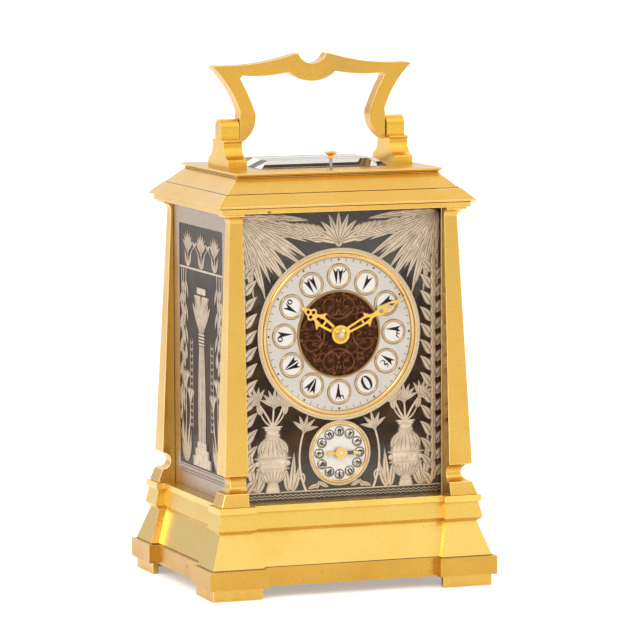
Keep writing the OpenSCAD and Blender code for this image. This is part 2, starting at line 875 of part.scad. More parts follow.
// Straight rails, two swept leaves, a round pierced swelling, a pierced lancet and a fine tip
module lancet_hand(hub, tip) {
  lancet = both([[0, 20.45], [0.55, 21.2], [0.75, 22.1], [0.55, 23.2], [0.18, 24.6]]);
  difference() {
    polygon(both(concat(
      arc([0, 0], hub, -90, 68, 12),
      [[1.55, 11.2], [2.1, 11.55], [3.0, 11.35], [2.55, 12.1], [1.7, 12.9], [1.0, 13.8], [0.8, 14.8]],
      arc([0, 18.3], 1.75, -54, 42, 8),
      [[1.05, 20.1], [1.35, 21.0], [1.5, 22.0], [1.2, 23.4], [0.62, 25.2], [0.4, 26.2], [0.12, tip]])));
    slot(0.42, hub + 0.7, 0.78, 9.6);
    slot(0.8, 10.3, 0.32, 13.0);
    translate([0, 18.3])
      circle(0.85, $fn = 24);
    polygon(lancet);
  }
}

module hour_hand() {
  color(gilt)
    difference() {
      hand(-31.3, -31.0, hand_turn[0])
        trefoil_hand(3.4, hand_length[0]);
      rod(dial_at, -40, -20, hour_pipe_r);
    }
}

module minute_hand() {
  color(gilt)
    difference() {
      union() {
        hand(-31.9, -31.6, hand_turn[1])
          lancet_hand(3.3, hand_length[1]);
        turned(dial_at, -31.8)
          polygon(concat([[0, 0], [3.6, 0], [3.5, 0.22], [2.3, 0.22]],
                         arc([0, -3.2], 4.1, 57, 90, 5)));
      }
      rod(dial_at, -40, -20, arbor_r);
    }
}

module hand_nut() {
  color(steel)
    difference() {
      turned(dial_at, -32.62)
        polygon([[0, 0], [1.5, 0], [1.5, 0.15], [1.2, 0.28], [0, 0.28]]);
      rod(dial_at, -40, -20, arbor_r);
    }
}

module alarm_hand() {
  tip = 8.1;
  tail = 5.4;
  color(gilt)
    union() {
      rod(alarm_at, -31.9, 21.0, arbor_r);
      rod(alarm_at, -31.7, -30.6, 2.1);
      rod(alarm_at, front_plate_y[1] + 0.3, back_plate_y[0] - 0.3, 1.3);
      translate([0, 0, alarm_z])
        slab(-31.4, -31.1)
          union() {
            polygon([[0, -0.85], [4.5, -0.6], [5.2, -0.9], [tip, 0], [5.2, 0.9], [4.5, 0.6],
                     [0, 0.85]]);
            polygon([[0, -0.7], [-3.4, -0.45], [-4.6, -1.0], [-tail, 0], [-4.6, 1.0],
                     [-3.4, 0.45], [0, 0.7]]);
          }
      translate([0, 19.0, alarm_z])
        cube([1.9, 4.0, 1.9], center = true);
    }
}

// Wheel train between the plates
m_barrel = 0.45;
m_mid = 0.5;
m_third = 0.42;
strike_at = [-barrel_at[0], barrel_at[1]];
intermediate_at = meet(barrel_at, reach(m_barrel, barrel_teeth),
                       dial_at, reach(m_mid, intermediate_teeth), 1);
contrate_at = dial_at + [11.0, 14.15];
third_at = meet(dial_at, reach(m_mid, centre_teeth), contrate_at,
                reach(m_third, third_teeth), -1);
pin_wheel_at = strike_at + polar(reach(m_barrel, [barrel_teeth[0], strike_teeth[0]]), 100);
fly_at = pin_wheel_at + polar(reach(m_third, [strike_teeth[1], strike_teeth[2]]), 95);
hammer_at = [-28, 106];
wheel_arbor_r = 0.9;
wheel_pivot_r = 0.6;
barrel_arbor_r = 1.5;

intermediate_turn = mesh_turn(barrel_at, intermediate_at, 0, barrel_teeth[0], barrel_teeth[1]);
centre_turn = mesh_turn(intermediate_at, dial_at, intermediate_turn, intermediate_teeth[0],
                        intermediate_teeth[1]);
third_turn = mesh_turn(dial_at, third_at, centre_turn, centre_teeth[0], centre_teeth[1]);
contrate_turn = mesh_turn(third_at, contrate_at, third_turn, third_teeth[0], third_teeth[1]);
pin_turn = mesh_turn(strike_at, pin_wheel_at, 0, barrel_teeth[0], strike_teeth[0]);
fly_turn = mesh_turn(pin_wheel_at, fly_at, pin_turn, strike_teeth[1], strike_teeth[2]);

module movement_plate(faces) {
  color(brass)
    slab(faces[0], faces[1])
      difference() {
        translate([-plate_half, base_top])
          square([2 * plate_half, plate_top - base_top]);
        translate([-24, base_top - 1])
          square([48, 6]);
        for (p = [intermediate_at, third_at, contrate_at, pin_wheel_at, fly_at, hammer_at])
          translate(p)
            circle(wheel_pivot_r + pivot_gap);
        for (p = [barrel_at, strike_at])
          translate(p)
            circle(barrel_arbor_r + pivot_gap);
        for (p = [dial_at, alarm_at])
          translate(p)
            circle(arbor_r + pivot_gap);
      }
}

module front_movement_plate() {
  movement_plate(front_plate_y);
  color(steel)
    union() {
      rod(minute_at, -27.0, front_plate_y[0] + 0.1, 0.7);
      rod(lever_pivot, -24.4, front_plate_y[0] + 0.1, 0.8);
      rod(lever_pivot, -24.9, -24.3, 1.7);
    }
}

module back_movement_plate() { movement_plate(back_plate_y); }

module movement_pillars() {
  color(brass)
    for (x = [-30, 30], z = [46, 118])
      union() {
        rod([x, z], front_plate_y[1], back_plate_y[0], 2.0);
        rod([x, z], -7, 1, 2.6);
        rod([x, z], back_plate_y[1], back_plate_y[1] + 1.4, 2.0);
      }
}

module barrel(at) {
  r = barrel_teeth[0] * m_barrel / 2;
  color(brass)
    difference() {
      union() {
        pinion(at, barrel_teeth[0], m_barrel, 0, -6.0, -5.0);
        rod(at, -5.1, 12.0, r - 1.4);
        rod(at, 10.8, 12.6, r - 2.2);
        rod(at, -7.2, -5.9, 4.0);
      }
      rod(at, -20, 20, barrel_arbor_r + pivot_gap);
    }
}

module going_barrel() { barrel(barrel_at); }
module strike_barrel() { barrel(strike_at); }

ratchet_r = 7.0;
ratchet_teeth = 24;
square_end = 25.0;

module winding_arbor(at) {
  depth = 1.0;
  color(steel)
    union() {
      rod(at, front_plate_y[0] + 0.1, 19.2, barrel_arbor_r);
      translate([at[0], 0, at[1]])
        slab(back_plate_y[1] + 0.3, back_plate_y[1] + 1.8)
          polygon([for (i = [0 : ratchet_teeth - 1], k = [0, 1])
            polar(ratchet_r - depth * k, 360 * (i + 0.12 * k) / ratchet_teeth)]);
      translate([at[0], (square_end + 18.6) / 2, at[1]])
        cube([2.1, square_end - 18.6, 2.1], center = true);
    }
}

module going_winding_arbor() { winding_arbor(barrel_at); }
module strike_winding_arbor() { winding_arbor(strike_at); }

module winding_clicks() {
  y0 = back_plate_y[1];
  foot = 12.0;
  color(steel)
    for (p = [barrel_at, strike_at])
      translate([p[0], 0, p[1]])
        rotate([0, 40, 0])
          union() {
            rod([0, foot], y0, y0 + 2.4, 1.1);
            slab(y0 + 0.3, y0 + 1.8)
              union() {
                translate([0, foot])
                  circle(1.9);
                polygon([[-1.8, foot], [0.6, foot - 1.6], [-3.4, ratchet_r - 0.25],
                         [-4.6, ratchet_r + 0.4]]);
              }
          }
}

module intermediate_wheel() {
  at = intermediate_at;
  color(brass)
    union() {
      wheel(at, intermediate_teeth[0], m_mid, intermediate_turn, -11.0, -10.2, 4, 2.6);
      pinion(at, barrel_teeth[1], m_barrel, intermediate_turn, -10.3, -4.2);
      arbor(at, wheel_arbor_r, wheel_pivot_r);
    }
}

module centre_wheel() {
  at = dial_at;
  color(brass)
    difference() {
      union() {
        wheel(at, centre_teeth[0], m_mid, centre_turn, -16.0, -15.2, 4, 2.6);
        pinion(at, intermediate_teeth[1], m_mid, centre_turn, -15.3, -8.6);
        rod(at, front_plate_y[1] + 0.3, -7.0, 1.6);
      }
      rod(at, -40, 20, arbor_r + pivot_gap);
    }
}

module third_wheel() {
  at = third_at;
  color(brass)
    union() {
      wheel(at, third_teeth[0], m_third, third_turn, -18.5, -17.7, 4, 2.2);
      pinion(at, centre_teeth[1], m_mid, third_turn, -17.8, -14.0);
      arbor(at, wheel_arbor_r, wheel_pivot_r);
    }
}

// Contrate wheel: teeth stand on the face, to turn the upright escape arbor
crown_out = 10.9;
crown_in = 10.1;
crown_tip = 1.1;
escape_at = [contrate_at[0], -1.8];

module contrate_wheel() {
  at = contrate_at;
  pitch = 360 / contrate_teeth[0];
  half_root = 0.27;
  half_tip = 0.13;
  color(brass)
    union() {
      translate([at[0], 0, at[1]]) {
        slab(0, 0.9)
          union() {
            difference() {
              circle(crown_out, $fn = 96);
              circle(crown_in - 1.0);
            }
            circle(2.0);
            for (i = [0 : 3])
              rotate(90 * i + 45)
                translate([0, -0.6])
                  square([crown_in - 0.8, 1.2]);
          }
        for (i = [0 : contrate_teeth[0] - 1])
          rotate([0, pitch * i, 0])
            translate([0, 0, crown_in])
              linear_extrude(crown_out - crown_in - 0.05)
                polygon([[-half_root, 0.2], [half_root, 0.2], [half_tip, -crown_tip],
                         [-half_tip, -crown_tip]]);
      }
      pinion(at, third_teeth[1], m_third, contrate_turn, -19.4, -16.9);
      arbor(at, wheel_arbor_r, wheel_pivot_r);
    }
}

module pin_wheel() {
  at = pin_wheel_at;
  color(brass)
    union() {
      wheel(at, strike_teeth[1], m_third, pin_turn, -19.4, -18.6, 4, 2.2);
      pinion(at, strike_teeth[0], m_barrel, pin_turn, -6.8, -4.2);
      arbor(at, wheel_arbor_r, wheel_pivot_r);
      for (i = [0 : 7])
        rod(at + polar(10.0, 45 * i + 22.5), -18.7, -16.8, 0.35);
    }
}

module fly() {
  at = fly_at;
  color(steel)
    union() {
      pinion(at, strike_teeth[2], m_third, fly_turn, -19.6, -18.0);
      arbor(at, 0.7, wheel_pivot_r);
      translate([at[0] - 6.0, -13, at[1] - 0.25])
        cube([12.0, 12.0, 0.5]);
    }
}

// Hammer and gong on the back plate
gong_at = [0, 88];
gong_r = 22.5;
gong_wire = 0.8;
gong_pitch = 2.6;
gong_y = 20.6;
head_at = [-26.0, 92.6];

module hammer() {
  reach_in = pin_wheel_at - hammer_at;
  tail = norm(reach_in) - 10.75;
  color(steel)
    union() {
      rod(hammer_at, front_plate_y[1] + 0.3, back_plate_y[0] - 0.3, wheel_arbor_r);
      rod(hammer_at, front_plate_y[0] + 0.1, 21.4, wheel_pivot_r);
      translate([hammer_at[0], 0, hammer_at[1]])
        slab(-17.8, -17.0)
          rotate(atan2(reach_in[1], reach_in[0]))
            translate([0, -0.8])
              square([tail, 1.6]);
      slab(19.8, 21.4)
        union() {
          translate(hammer_at)
            circle(1.8);
          polygon([hammer_at + [-0.8, 0], hammer_at + [0.8, 0], head_at + [0.7, 0],
                   head_at + [-0.7, 0]]);
        }
      translate([head_at[0] - 2.2, gong_y, head_at[1]])
        rotate([0, 90, 0])
          cylinder(h = 4.4, r = 1.9);
    }
}

// A flat spiral of half turns, each tangent to the next, held in a block
module gong() {
  half_turns = 5;
  color(blued)
    union() {
      for (k = [0 : half_turns - 1])
        translate([gong_at[0], gong_y, gong_at[1] + (k % 2) * gong_pitch / 2])
          rotate([90, 0, 0])
            rotate([0, 0, k % 2 == 0 ? -90 : 90])
              rotate_extrude(angle = 180, $fn = 64)
                translate([gong_r - k * gong_pitch / 2, 0])
                  circle(gong_wire, $fn = 16);
      translate([gong_at[0] - 4.5, back_plate_y[1], gong_at[1] - gong_r - 2])
        cube([4.6, 6.0, 4.0]);
    }
}

// Platform escapement on top of the plates
platform_z = 125.4;
pallet_at = [escape_at[0] - 5.4, escape_at[1]];
balance_at = [escape_at[0] - 14.5, escape_at[1]];
escape_r = 4.2;
lever_z = [126.7, 127.3];

module upright(at, z0, z1, r) {
  translate([at[0], at[1], z0])
    cylinder(h = z1 - z0, r = r);
}

module platform() {
  cock_z = 128.4;
  color(brass)
    difference() {
      union() {
        translate([-15, front_plate_y[0], plate_top])
          cube([36, back_plate_y[1] - front_plate_y[0], platform_z - plate_top]);
        translate([escape_at[0] - 8.2, 3.6, platform_z - 0.1])
          cube([9.0, 3.4, cock_z + 1.0 - platform_z + 0.1]);
        translate([0, 0, cock_z])
          linear_extrude(1.0)
            polygon([escape_at + [-7.4, -1.8], escape_at + [1.2, -1.8], escape_at + [2.2, 0],
                     escape_at + [1.4, 6.2], escape_at + [-8.2, 8.8], escape_at + [-8.2, 5.4]]);
        translate([escape_at[0] - 1.6, -6.2, 117.4])
          cube([3.2, 1.6, plate_top - 117.3]);
        translate([escape_at[0] - 1.6, -6.2, 117.4])
          cube([3.2, 5.4, 1.0]);
      }
      upright(escape_at, 110, 140, 0.5 + pivot_gap);
      upright(escape_at, 118.3, 126, 1.6);
      upright(pallet_at, 110, 140, 0.3 + pivot_gap);
      upright(balance_at, 110, 140, 0.3 + pivot_gap);
    }
}

module escape_wheel() {
  teeth = 15;
  color(brass)
    union() {
      translate([escape_at[0], escape_at[1], 126.8])
        linear_extrude(0.45)
          difference() {
            polygon([for (i = [0 : teeth - 1], k = [0 : 2])
              polar([3.1, escape_r, escape_r][k],
                    360 * i / teeth + [-9, -1.5, 1.5][k])]);
            difference() {
              circle(2.5);
              circle(1.1);
              square([8, 0.6], center = true);
              square([0.6, 8], center = true);
            }
          }
      upright(escape_at, 117.6, 129.2, 0.5);
      upright(escape_at, 118.9, 128.1, 0.6);
      translate([escape_at[0], escape_at[1], 119.0])
        linear_extrude(3.0)
          union() {
            circle(0.62, $fn = 24);
            for (i = [0 : contrate_teeth[1] - 1])
              rotate(60 * i)
                translate([0, -0.14])
                  square([1.3, 0.28]);
          }
    }
}

module pallet_lever() {
  claw = [2.05, 2.5];
  fork = 6.2;
  color(steel)
    union() {
      upright(pallet_at, 124.5, 129.2, 0.3);
      upright(pallet_at, 125.7, 128.1, 0.5);
      translate([pallet_at[0], pallet_at[1], lever_z[0]])
        linear_extrude(lever_z[1] - lever_z[0])
          union() {
            circle(1.0);
            for (s = [-1, 1])
              polygon([[-0.5, 0], [0.2, s * 0.4], [claw[0] - 0.7, s * claw[1]],
                       [claw[0] - 0.5, s * (claw[1] + 0.6)], [-0.3, s * 2.6]]);
            polygon([[0, -0.5], [0, 0.5], [-fork + 1.4, 0.35], [-fork, 0.85], [-fork, 0.45],
                     [-fork + 0.9, 0.2], [-fork + 0.9, -0.2], [-fork, -0.45], [-fork, -0.85],
                     [-fork + 1.4, -0.35]]);
          }
    }
}

module balance_wheel() {
  rim = 8.0;
  color(gilt)
    union() {
      upright(balance_at, 124.6, 134.2, 0.3);
      upright(balance_at, 125.8, 133.0, 0.6);
      upright(balance_at, 127.9, 128.4, 2.1);
      upright(balance_at + [1.8, 0], 126.8, 128.0, 0.2);
      translate([balance_at[0], balance_at[1], 130.4])
        linear_extrude(1.0)
          union() {
            difference() {
              circle(rim);
              circle(rim - 1.1);
            }
            square([2 * rim - 1.5, 1.0], center = true);
            circle(1.3);
          }
      for (i = [0 : 9])
        translate([balance_at[0], balance_at[1], 130.9])
          rotate([0, 90, 36 * i + 18])
            translate([0, 0, rim - 0.2])
              cylinder(h = 0.7, r = 0.35);
    }
}

// Cock over the balance, with the fixed end of the hairspring
module balance_cock() {
  z = 133.4;
  turns = 4;
  outer = 5.0;
  inner = 1.0;
  wire = 0.12;
  steps = turns * 16;
  coil = [for (i = [0 : steps])
    polar(inner + (outer - inner) * i / steps, 90 + 360 * turns * i / steps)];
  coil_back = [for (i = [steps : -1 : 0])
    polar(inner + wire + (outer - inner) * i / steps, 90 + 360 * turns * i / steps)];
  color(brass)
    difference() {
      union() {
        translate([0, 0, z])
          linear_extrude(1.1)
            union() {
              translate(balance_at)
                circle(2.4);
              polygon([balance_at + [-1.8, 0], balance_at + [1.8, 0], balance_at + [4.5, 10],
                       balance_at + [4.5, 14], balance_at + [-4.5, 14], balance_at + [-4.5, 10]]);
            }
        translate([balance_at[0] - 4.5, balance_at[1] + 9.6, platform_z])
          cube([9.0, 4.4, z - platform_z + 0.1]);
        translate([balance_at[0] - 0.4, balance_at[1] + outer - 0.3, 132.1])
          cube([0.8, 0.9, 1.4]);
        translate([balance_at[0], balance_at[1], 132.1])
          linear_extrude(0.4)
            polygon(concat(coil, coil_back));
      }
      upright(balance_at, 120, 140, 0.3 + pivot_gap);
    }
}

corner_feet();
base_moulding();
bottom_cover();
base_plate();
column_front_left();
column_front_right();
column_back_left();
column_back_right();
roof_casting();
top_glass();
front_glass();
side_panel_left();
side_panel_right();
handle_bracket_left();
handle_bracket_right();
carrying_handle();
handle_pivot_screws();
door_frame();
door_glass();
door_knob();
repeat_button();
repeat_spring();
button_bush();
repeat_lever();
dial_mask();
dial_plate();
dial_bezels();
chapter_ring();
hour_plaques();
hour_rims();
centre_disc();
alarm_dial();
alarm_hand();
hour_hand();
minute_hand();
hand_nut();
hand_arbor();
hour_wheel();
minute_wheel();
front_movement_plate();
back_movement_plate();
movement_pillars();
going_barrel();
strike_barrel();
going_winding_arbor();
strike_winding_arbor();
winding_clicks();
intermediate_wheel();
centre_wheel();
third_wheel();
contrate_wheel();
pin_wheel();
fly();
hammer();
gong();
platform();
escape_wheel();
pallet_lever();
balance_wheel();
balance_cock();
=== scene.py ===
import json
import math
from types import SimpleNamespace

import bmesh
import bpy
from mathutils import Matrix, Vector

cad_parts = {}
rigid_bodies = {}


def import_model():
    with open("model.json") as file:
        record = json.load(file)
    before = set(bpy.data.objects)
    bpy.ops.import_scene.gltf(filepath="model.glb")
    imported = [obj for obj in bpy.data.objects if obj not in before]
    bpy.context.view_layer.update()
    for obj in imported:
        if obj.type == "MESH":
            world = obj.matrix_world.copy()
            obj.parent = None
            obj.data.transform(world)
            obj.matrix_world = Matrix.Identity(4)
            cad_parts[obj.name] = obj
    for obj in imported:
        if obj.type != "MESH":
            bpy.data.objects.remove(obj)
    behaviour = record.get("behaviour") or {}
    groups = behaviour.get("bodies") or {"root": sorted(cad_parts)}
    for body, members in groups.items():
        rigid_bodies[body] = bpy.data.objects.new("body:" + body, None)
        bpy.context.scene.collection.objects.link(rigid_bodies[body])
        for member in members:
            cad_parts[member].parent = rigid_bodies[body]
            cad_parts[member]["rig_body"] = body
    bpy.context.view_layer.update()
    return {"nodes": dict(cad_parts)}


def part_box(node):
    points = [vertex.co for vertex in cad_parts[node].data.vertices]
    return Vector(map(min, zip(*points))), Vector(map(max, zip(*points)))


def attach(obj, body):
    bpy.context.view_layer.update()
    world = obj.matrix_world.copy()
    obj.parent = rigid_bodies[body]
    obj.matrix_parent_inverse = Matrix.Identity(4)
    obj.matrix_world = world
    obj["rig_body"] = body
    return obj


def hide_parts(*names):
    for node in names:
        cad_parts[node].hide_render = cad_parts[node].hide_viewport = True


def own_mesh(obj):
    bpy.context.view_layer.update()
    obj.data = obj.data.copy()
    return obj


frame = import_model()
cadNodes = frame["nodes"]
nodeBody = {name: part["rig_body"] for name, part in cadNodes.items()}
mm = 0.001
print("frame loaded:", len(cadNodes), "parts")

# Helpers for objects and nodes


def newObject(name, data):
    thing = bpy.data.objects.new(name, data)
    bpy.context.scene.collection.objects.link(thing)
    return thing


def meshFrom(shape, name, *materials):
    mesh = bpy.data.meshes.new(name)
    shape.to_mesh(mesh)
    shape.free()
    for material in materials:
        mesh.materials.append(material)
    return mesh


def setInputs(tree, node, **values):
    # Sockets by name, or by number as i0, i1. Colours are written as red, green and blue
    for label, value in values.items():
        socket = node.inputs[int(label[1:]) if label[1:].isdigit() else label.replace("_", " ")]
        if isinstance(value, bpy.types.NodeSocket):
            tree.links.new(value, socket)
        else:
            socket.default_value = (*value, 1) if socket.type == "RGBA" else value
    return node


def addNode(tree, kind, settings=None, **values):
    node = tree.nodes.new("ShaderNode" + kind)
    for name, value in (settings or {}).items():
        setattr(node, name, value)
    return setInputs(tree, node, **values)


def newGroup(name, inputs, outputs):
    group = bpy.data.node_groups.new(name, "ShaderNodeTree")
    kinds = {"colour": "NodeSocketColor", "value": "NodeSocketFloat", "vector": "NodeSocketVector"}
    for label, kind, value in inputs:
        group.interface.new_socket(label, in_out="INPUT", socket_type=kinds[kind]).default_value = value
    for label in outputs:
        kind = kinds["colour" if label == "Colour" else "value"]
        group.interface.new_socket(label, in_out="OUTPUT", socket_type=kind)
    return group, group.nodes.new("NodeGroupInput"), group.nodes.new("NodeGroupOutput")


def newMaterial(name, **values):
    material = bpy.data.materials.new(name)
    material.use_nodes = True
    tree = material.node_tree
    return material, tree, setInputs(tree, tree.nodes["Principled BSDF"], **values)


def mathNode(tree, operation, first, second=0.0):
    return addNode(tree, "Math", {"operation": operation}, i0=first, i1=second).outputs[0]


def times(tree, first, second):
    return mathNode(tree, "MULTIPLY", first, second)


def plus(tree, first, second):
    return mathNode(tree, "ADD", first, second)


def minus(tree, first, second):
    return mathNode(tree, "SUBTRACT", first, second)


def vectorNode(tree, operation, first, second):
    return addNode(tree, "VectorMath", {"operation": operation}, i0=first, i1=second).outputs[0]


def mixColour(tree, factor, first, second, blend="MIX"):
    settings = {"data_type": "RGBA", "blend_type": blend}
    return addNode(tree, "Mix", settings, i0=factor, i6=first, i7=second).outputs[2]


def ramp(tree, value, low, high, first=0.0, last=1.0):
    node = addNode(tree, "MapRange", {"clamp": True}, i0=value, i1=low, i2=high, i3=first, i4=last)
    return node.outputs[0]


def objectAt(tree):
    return addNode(tree, "TexCoord").outputs["Object"]


def objectAxis(tree, index):
    return addNode(tree, "SeparateXYZ", i0=objectAt(tree)).outputs[index]


def noise(tree, at, scale, detail, rough=0.5):
    return addNode(tree, "TexNoise", Vector=at, Scale=scale, Detail=detail, Roughness=rough).outputs[0]


def radiusFrom(tree, at, centre):
    # Distance from a centre as seen from the front
    flat = vectorNode(tree, "MULTIPLY", vectorNode(tree, "SUBTRACT", at, centre), (1, 0, 1))
    return addNode(tree, "VectorMath", {"operation": "LENGTH"}, i0=flat).outputs["Value"]


# Camera, floor and lights

camera = {
    "target": Vector((0.0, 0.0, 78.96)),  # millimetres, a point on the clock's axis
    "azimuth": -20.16,
    "elevation": 6.79,
    "roll": -0.23,
    "distance": 1783.8,
    "lens": 263.6,
    "aim": (3.39, 19.26),  # how far right of and above the target the view is centred
}


def placeCamera():
    turn, rise = math.radians(camera["azimuth"]), math.radians(camera["elevation"])
    back = Vector((math.sin(turn) * math.cos(rise), -math.cos(turn) * math.cos(rise), math.sin(rise)))
    facing = (-back).to_track_quat("-Z", "Y")
    right, up = facing @ Vector((1, 0, 0)), facing @ Vector((0, 1, 0))
    place = camera["target"] + back * camera["distance"]
    aim = camera["target"] + right * camera["aim"][0] + up * camera["aim"][1]
    data = bpy.data.cameras.new("camera")
    data.lens = camera["lens"]
    data.clip_start, data.clip_end = 0.05, 60
    rig = newObject("camera", data)
    rig.rotation_mode = "QUATERNION"
    rig.rotation_quaternion = (aim - place).to_track_quat("-Z", "Y")
    rig.rotation_quaternion @= Matrix.Rotation(math.radians(camera["roll"]), 3, "Z").to_quaternion()
    rig.location = place * mm
    bpy.context.scene.camera = rig


studio = {
    "floorHalf": 12.0,
    "floorColour": (0.8, 0.8, 0.8),
    "floorGlow": (0.16, 0.34),  # in reflections, and as the camera sees it
    "horizon": 0.8, "softbox": 1.5, "zenith": 1.1,  # brightness of the surroundings by height
    "tentColour": (1.0, 0.995, 0.985), "paper": 1.02,  # paper: brightness of the backdrop
    "lampAim": Vector((0, 0, 0.08)),
    "lamps": [  # name, place, size, watts, colour
        ("keyLamp", (-0.8, -1.3, 1.1), 0.8, 7.0, (1.0, 0.98, 0.95)),
        ("sideLamp", (-1.5, 0.3, 0.5), 0.9, 3.0, (1.0, 0.95, 0.92)),
        ("fillLamp", (1.3, -0.9, 0.9), 0.8, 4.0, (1.0, 0.98, 0.94)),
    ],
}


def seenByCamera(tree):
    return addNode(tree, "LightPath").outputs["Is Camera Ray"]


def buildWorld():
    # The tent round the clock: pale at the sides, brightest half way up, darker overhead
    world = bpy.data.worlds.new("studio")
    world.use_nodes = True
    tree = world.node_tree
    height = addNode(tree, "SeparateXYZ", i0=addNode(tree, "TexCoord").outputs["Generated"]).outputs[2]
    rising = ramp(tree, height, 0.1, 0.6, studio["horizon"], studio["softbox"])
    falling = ramp(tree, height, 0.7, 0.99, 1.0, studio["zenith"] / studio["softbox"])
    tent = setInputs(tree, tree.nodes["Background"], Color=studio["tentColour"],
                     Strength=times(tree, rising, falling))
    paper = addNode(tree, "Background", Color=(1, 1, 1), Strength=studio["paper"])
    mixed = addNode(tree, "MixShader", i0=seenByCamera(tree), i1=tent.outputs[0], i2=paper.outputs[0])
    setInputs(tree, tree.nodes["World Output"], Surface=mixed.outputs[0])
    bpy.context.scene.world = world


def buildFloor():
    shape = bmesh.new()
    bmesh.ops.create_grid(shape, x_segments=1, y_segments=1, size=studio["floorHalf"])
    paint, tree, shader = newMaterial("floorPaper", Base_Color=studio["floorColour"], Roughness=0.6,
                                      Specular_IOR_Level=0.2, Emission_Color=(1, 1, 1))
    setInputs(tree, shader, Emission_Strength=ramp(tree, seenByCamera(tree), 0.0, 1.0, *studio["floorGlow"]))
    floor = newObject("floor", meshFrom(shape, "floor", paint))


def placeLamps():
    for name, place, size, watts, colour in studio["lamps"]:
        light = bpy.data.lights.new(name, "AREA")
        light.shape = "DISK"
        light.size = size
        light.energy = watts
        light.color = colour
        lamp = newObject(name, light)
        lamp.location = place
        lamp.rotation_euler = (studio["lampAim"] - lamp.location).to_track_quat("-Z", "Y").to_euler()


placeCamera()
buildFloor()
buildWorld()
placeLamps()
bpy.context.scene.view_settings.view_transform = "Standard"
print("camera and studio placed")

# Shader groups


def buildGilding():
    # Satin gilding: fine grain, warm patches and a few dark worn spots
    group, given, result = newGroup(
        "satinGilding",
        [("Base", "colour", (0.9, 0.6, 0.2, 1)), ("Deep", "colour", (0.7, 0.4, 0.08, 1)),
         ("Grain Scale", "value", 2200.0), ("Patch Scale", "value", 45.0),
         ("Spots", "value", 1.0), ("Roughness", "value", 0.3)],
        ["Colour", "Roughness", "Height"])
    base, deep, grainScale, patchScale, spots, roughness = given.outputs[:6]
    at = objectAt(group)
    grain = noise(group, at, grainScale, 3.0)
    patch = noise(group, at, patchScale, 5.0, 0.65)
    cells = addNode(group, "TexVoronoi", Vector=at, Scale=260.0)
    cellShade = addNode(group, "SeparateColor", i0=cells.outputs["Color"]).outputs[0]
    dot = ramp(group, cells.outputs["Distance"], 0.1, 0.24, 1.0, 0.0)
    spot = times(group, times(group, mathNode(group, "GREATER_THAN", cellShade, 0.972), dot), spots)
    warm = ramp(group, patch, 0.42, 0.72, 0.0, 0.55)
    tone = mixColour(group, warm, base, deep)
    speck = ramp(group, grain, 0.3, 0.7, 0.91, 1.04)
    specks = addNode(group, "CombineColor", i0=speck, i1=speck, i2=speck).outputs[0]
    tone = mixColour(group, 1.0, tone, specks, "MULTIPLY")
    tone = mixColour(group, times(group, spot, 0.8), tone, (0.1, 0.055, 0.02))
    rough = plus(group, roughness, ramp(group, patch, 0.35, 0.75, -0.04, 0.08))
    rough = plus(group, rough, times(group, spot, 0.25))
    height = minus(group, grain, times(group, spot, 0.8))
    setInputs(group, result, Colour=tone, Roughness=rough, Height=height)
    return group


def buildBrush():
    # Lines left by a brush: straight along a stretched axis, or in rings round a centre
    group, given, result = newGroup(
        "brushLines",
        [("Stretch", "vector", (1.0, 1.0, 1.0)), ("Centre", "vector", (0.0, 0.0, 0.0)),
         ("Rings", "value", 0.0), ("Scale", "value", 1500.0)],
        ["Lines", "Cloud"])
    stretch, centre, inRings, scale = given.outputs[:4]
    at = objectAt(group)
    ringAt = addNode(group, "CombineXYZ", i0=radiusFrom(group, at, centre)).outputs[0]
    straight = vectorNode(group, "MULTIPLY", at, stretch)
    chosen = addNode(group, "Mix", {"data_type": "VECTOR"}, i0=inRings, i4=straight, i5=ringAt).outputs[1]
    setInputs(group, result, Lines=noise(group, chosen, scale, 4.0), Cloud=noise(group, at, 70.0, 5.0, 0.6))
    return group


gilding = buildGilding()
brushLines = buildBrush()

# Materials


def bumpInto(tree, shader, height, depth):
    bump = addNode(tree, "Bump", Height=height, Strength=1.0, Distance=depth)
    setInputs(tree, shader, Normal=bump.outputs[0])


def giltMaterial(name, base, deep, rough, spots, depth=0.00001, paintedLightBands=()):
    material, tree, shader = newMaterial(name, Metallic=1.0, Coat_Weight=0.35, Coat_Roughness=0.25)
    skin = addNode(tree, "Group", {"node_tree": gilding}, Base=base, Deep=deep, Roughness=rough, Spots=spots)
    tone = skin.outputs["Colour"]
    for low, high, tint in paintedLightBands:  # painted light and shade by height: the plinth darker, the slope and frieze lighter
        height = objectAxis(tree, 2)
        above = ramp(tree, height, (low - 0.1) * mm, (low + 0.1) * mm)
        below = ramp(tree, height, (high - 0.1) * mm, (high + 0.1) * mm, 1.0, 0.0)
        tone = mixColour(tree, times(tree, above, below), tone, tint, "MULTIPLY")
    setInputs(tree, shader, Base_Color=tone, Roughness=skin.outputs["Roughness"])
    bumpInto(tree, shader, skin.outputs["Height"], depth)
    return material


def twoToneMaterial(name, base, deep, other, rough, findOther):
    # Gilding with a second colour where findOther gives 1: a second finish, and on the hub a painted shade
    material, tree, shader = newMaterial(name, Metallic=1.0, Coat_Weight=0.3, Coat_Roughness=0.2)
    skin = addNode(tree, "Group", {"node_tree": gilding}, Base=base, Deep=deep, Roughness=rough, Spots=0.2)
    setInputs(tree, shader, Base_Color=mixColour(tree, findOther(tree), skin.outputs["Colour"], other),
              Roughness=skin.outputs["Roughness"])
    bumpInto(tree, shader, skin.outputs["Height"], 0.00001)
    return material


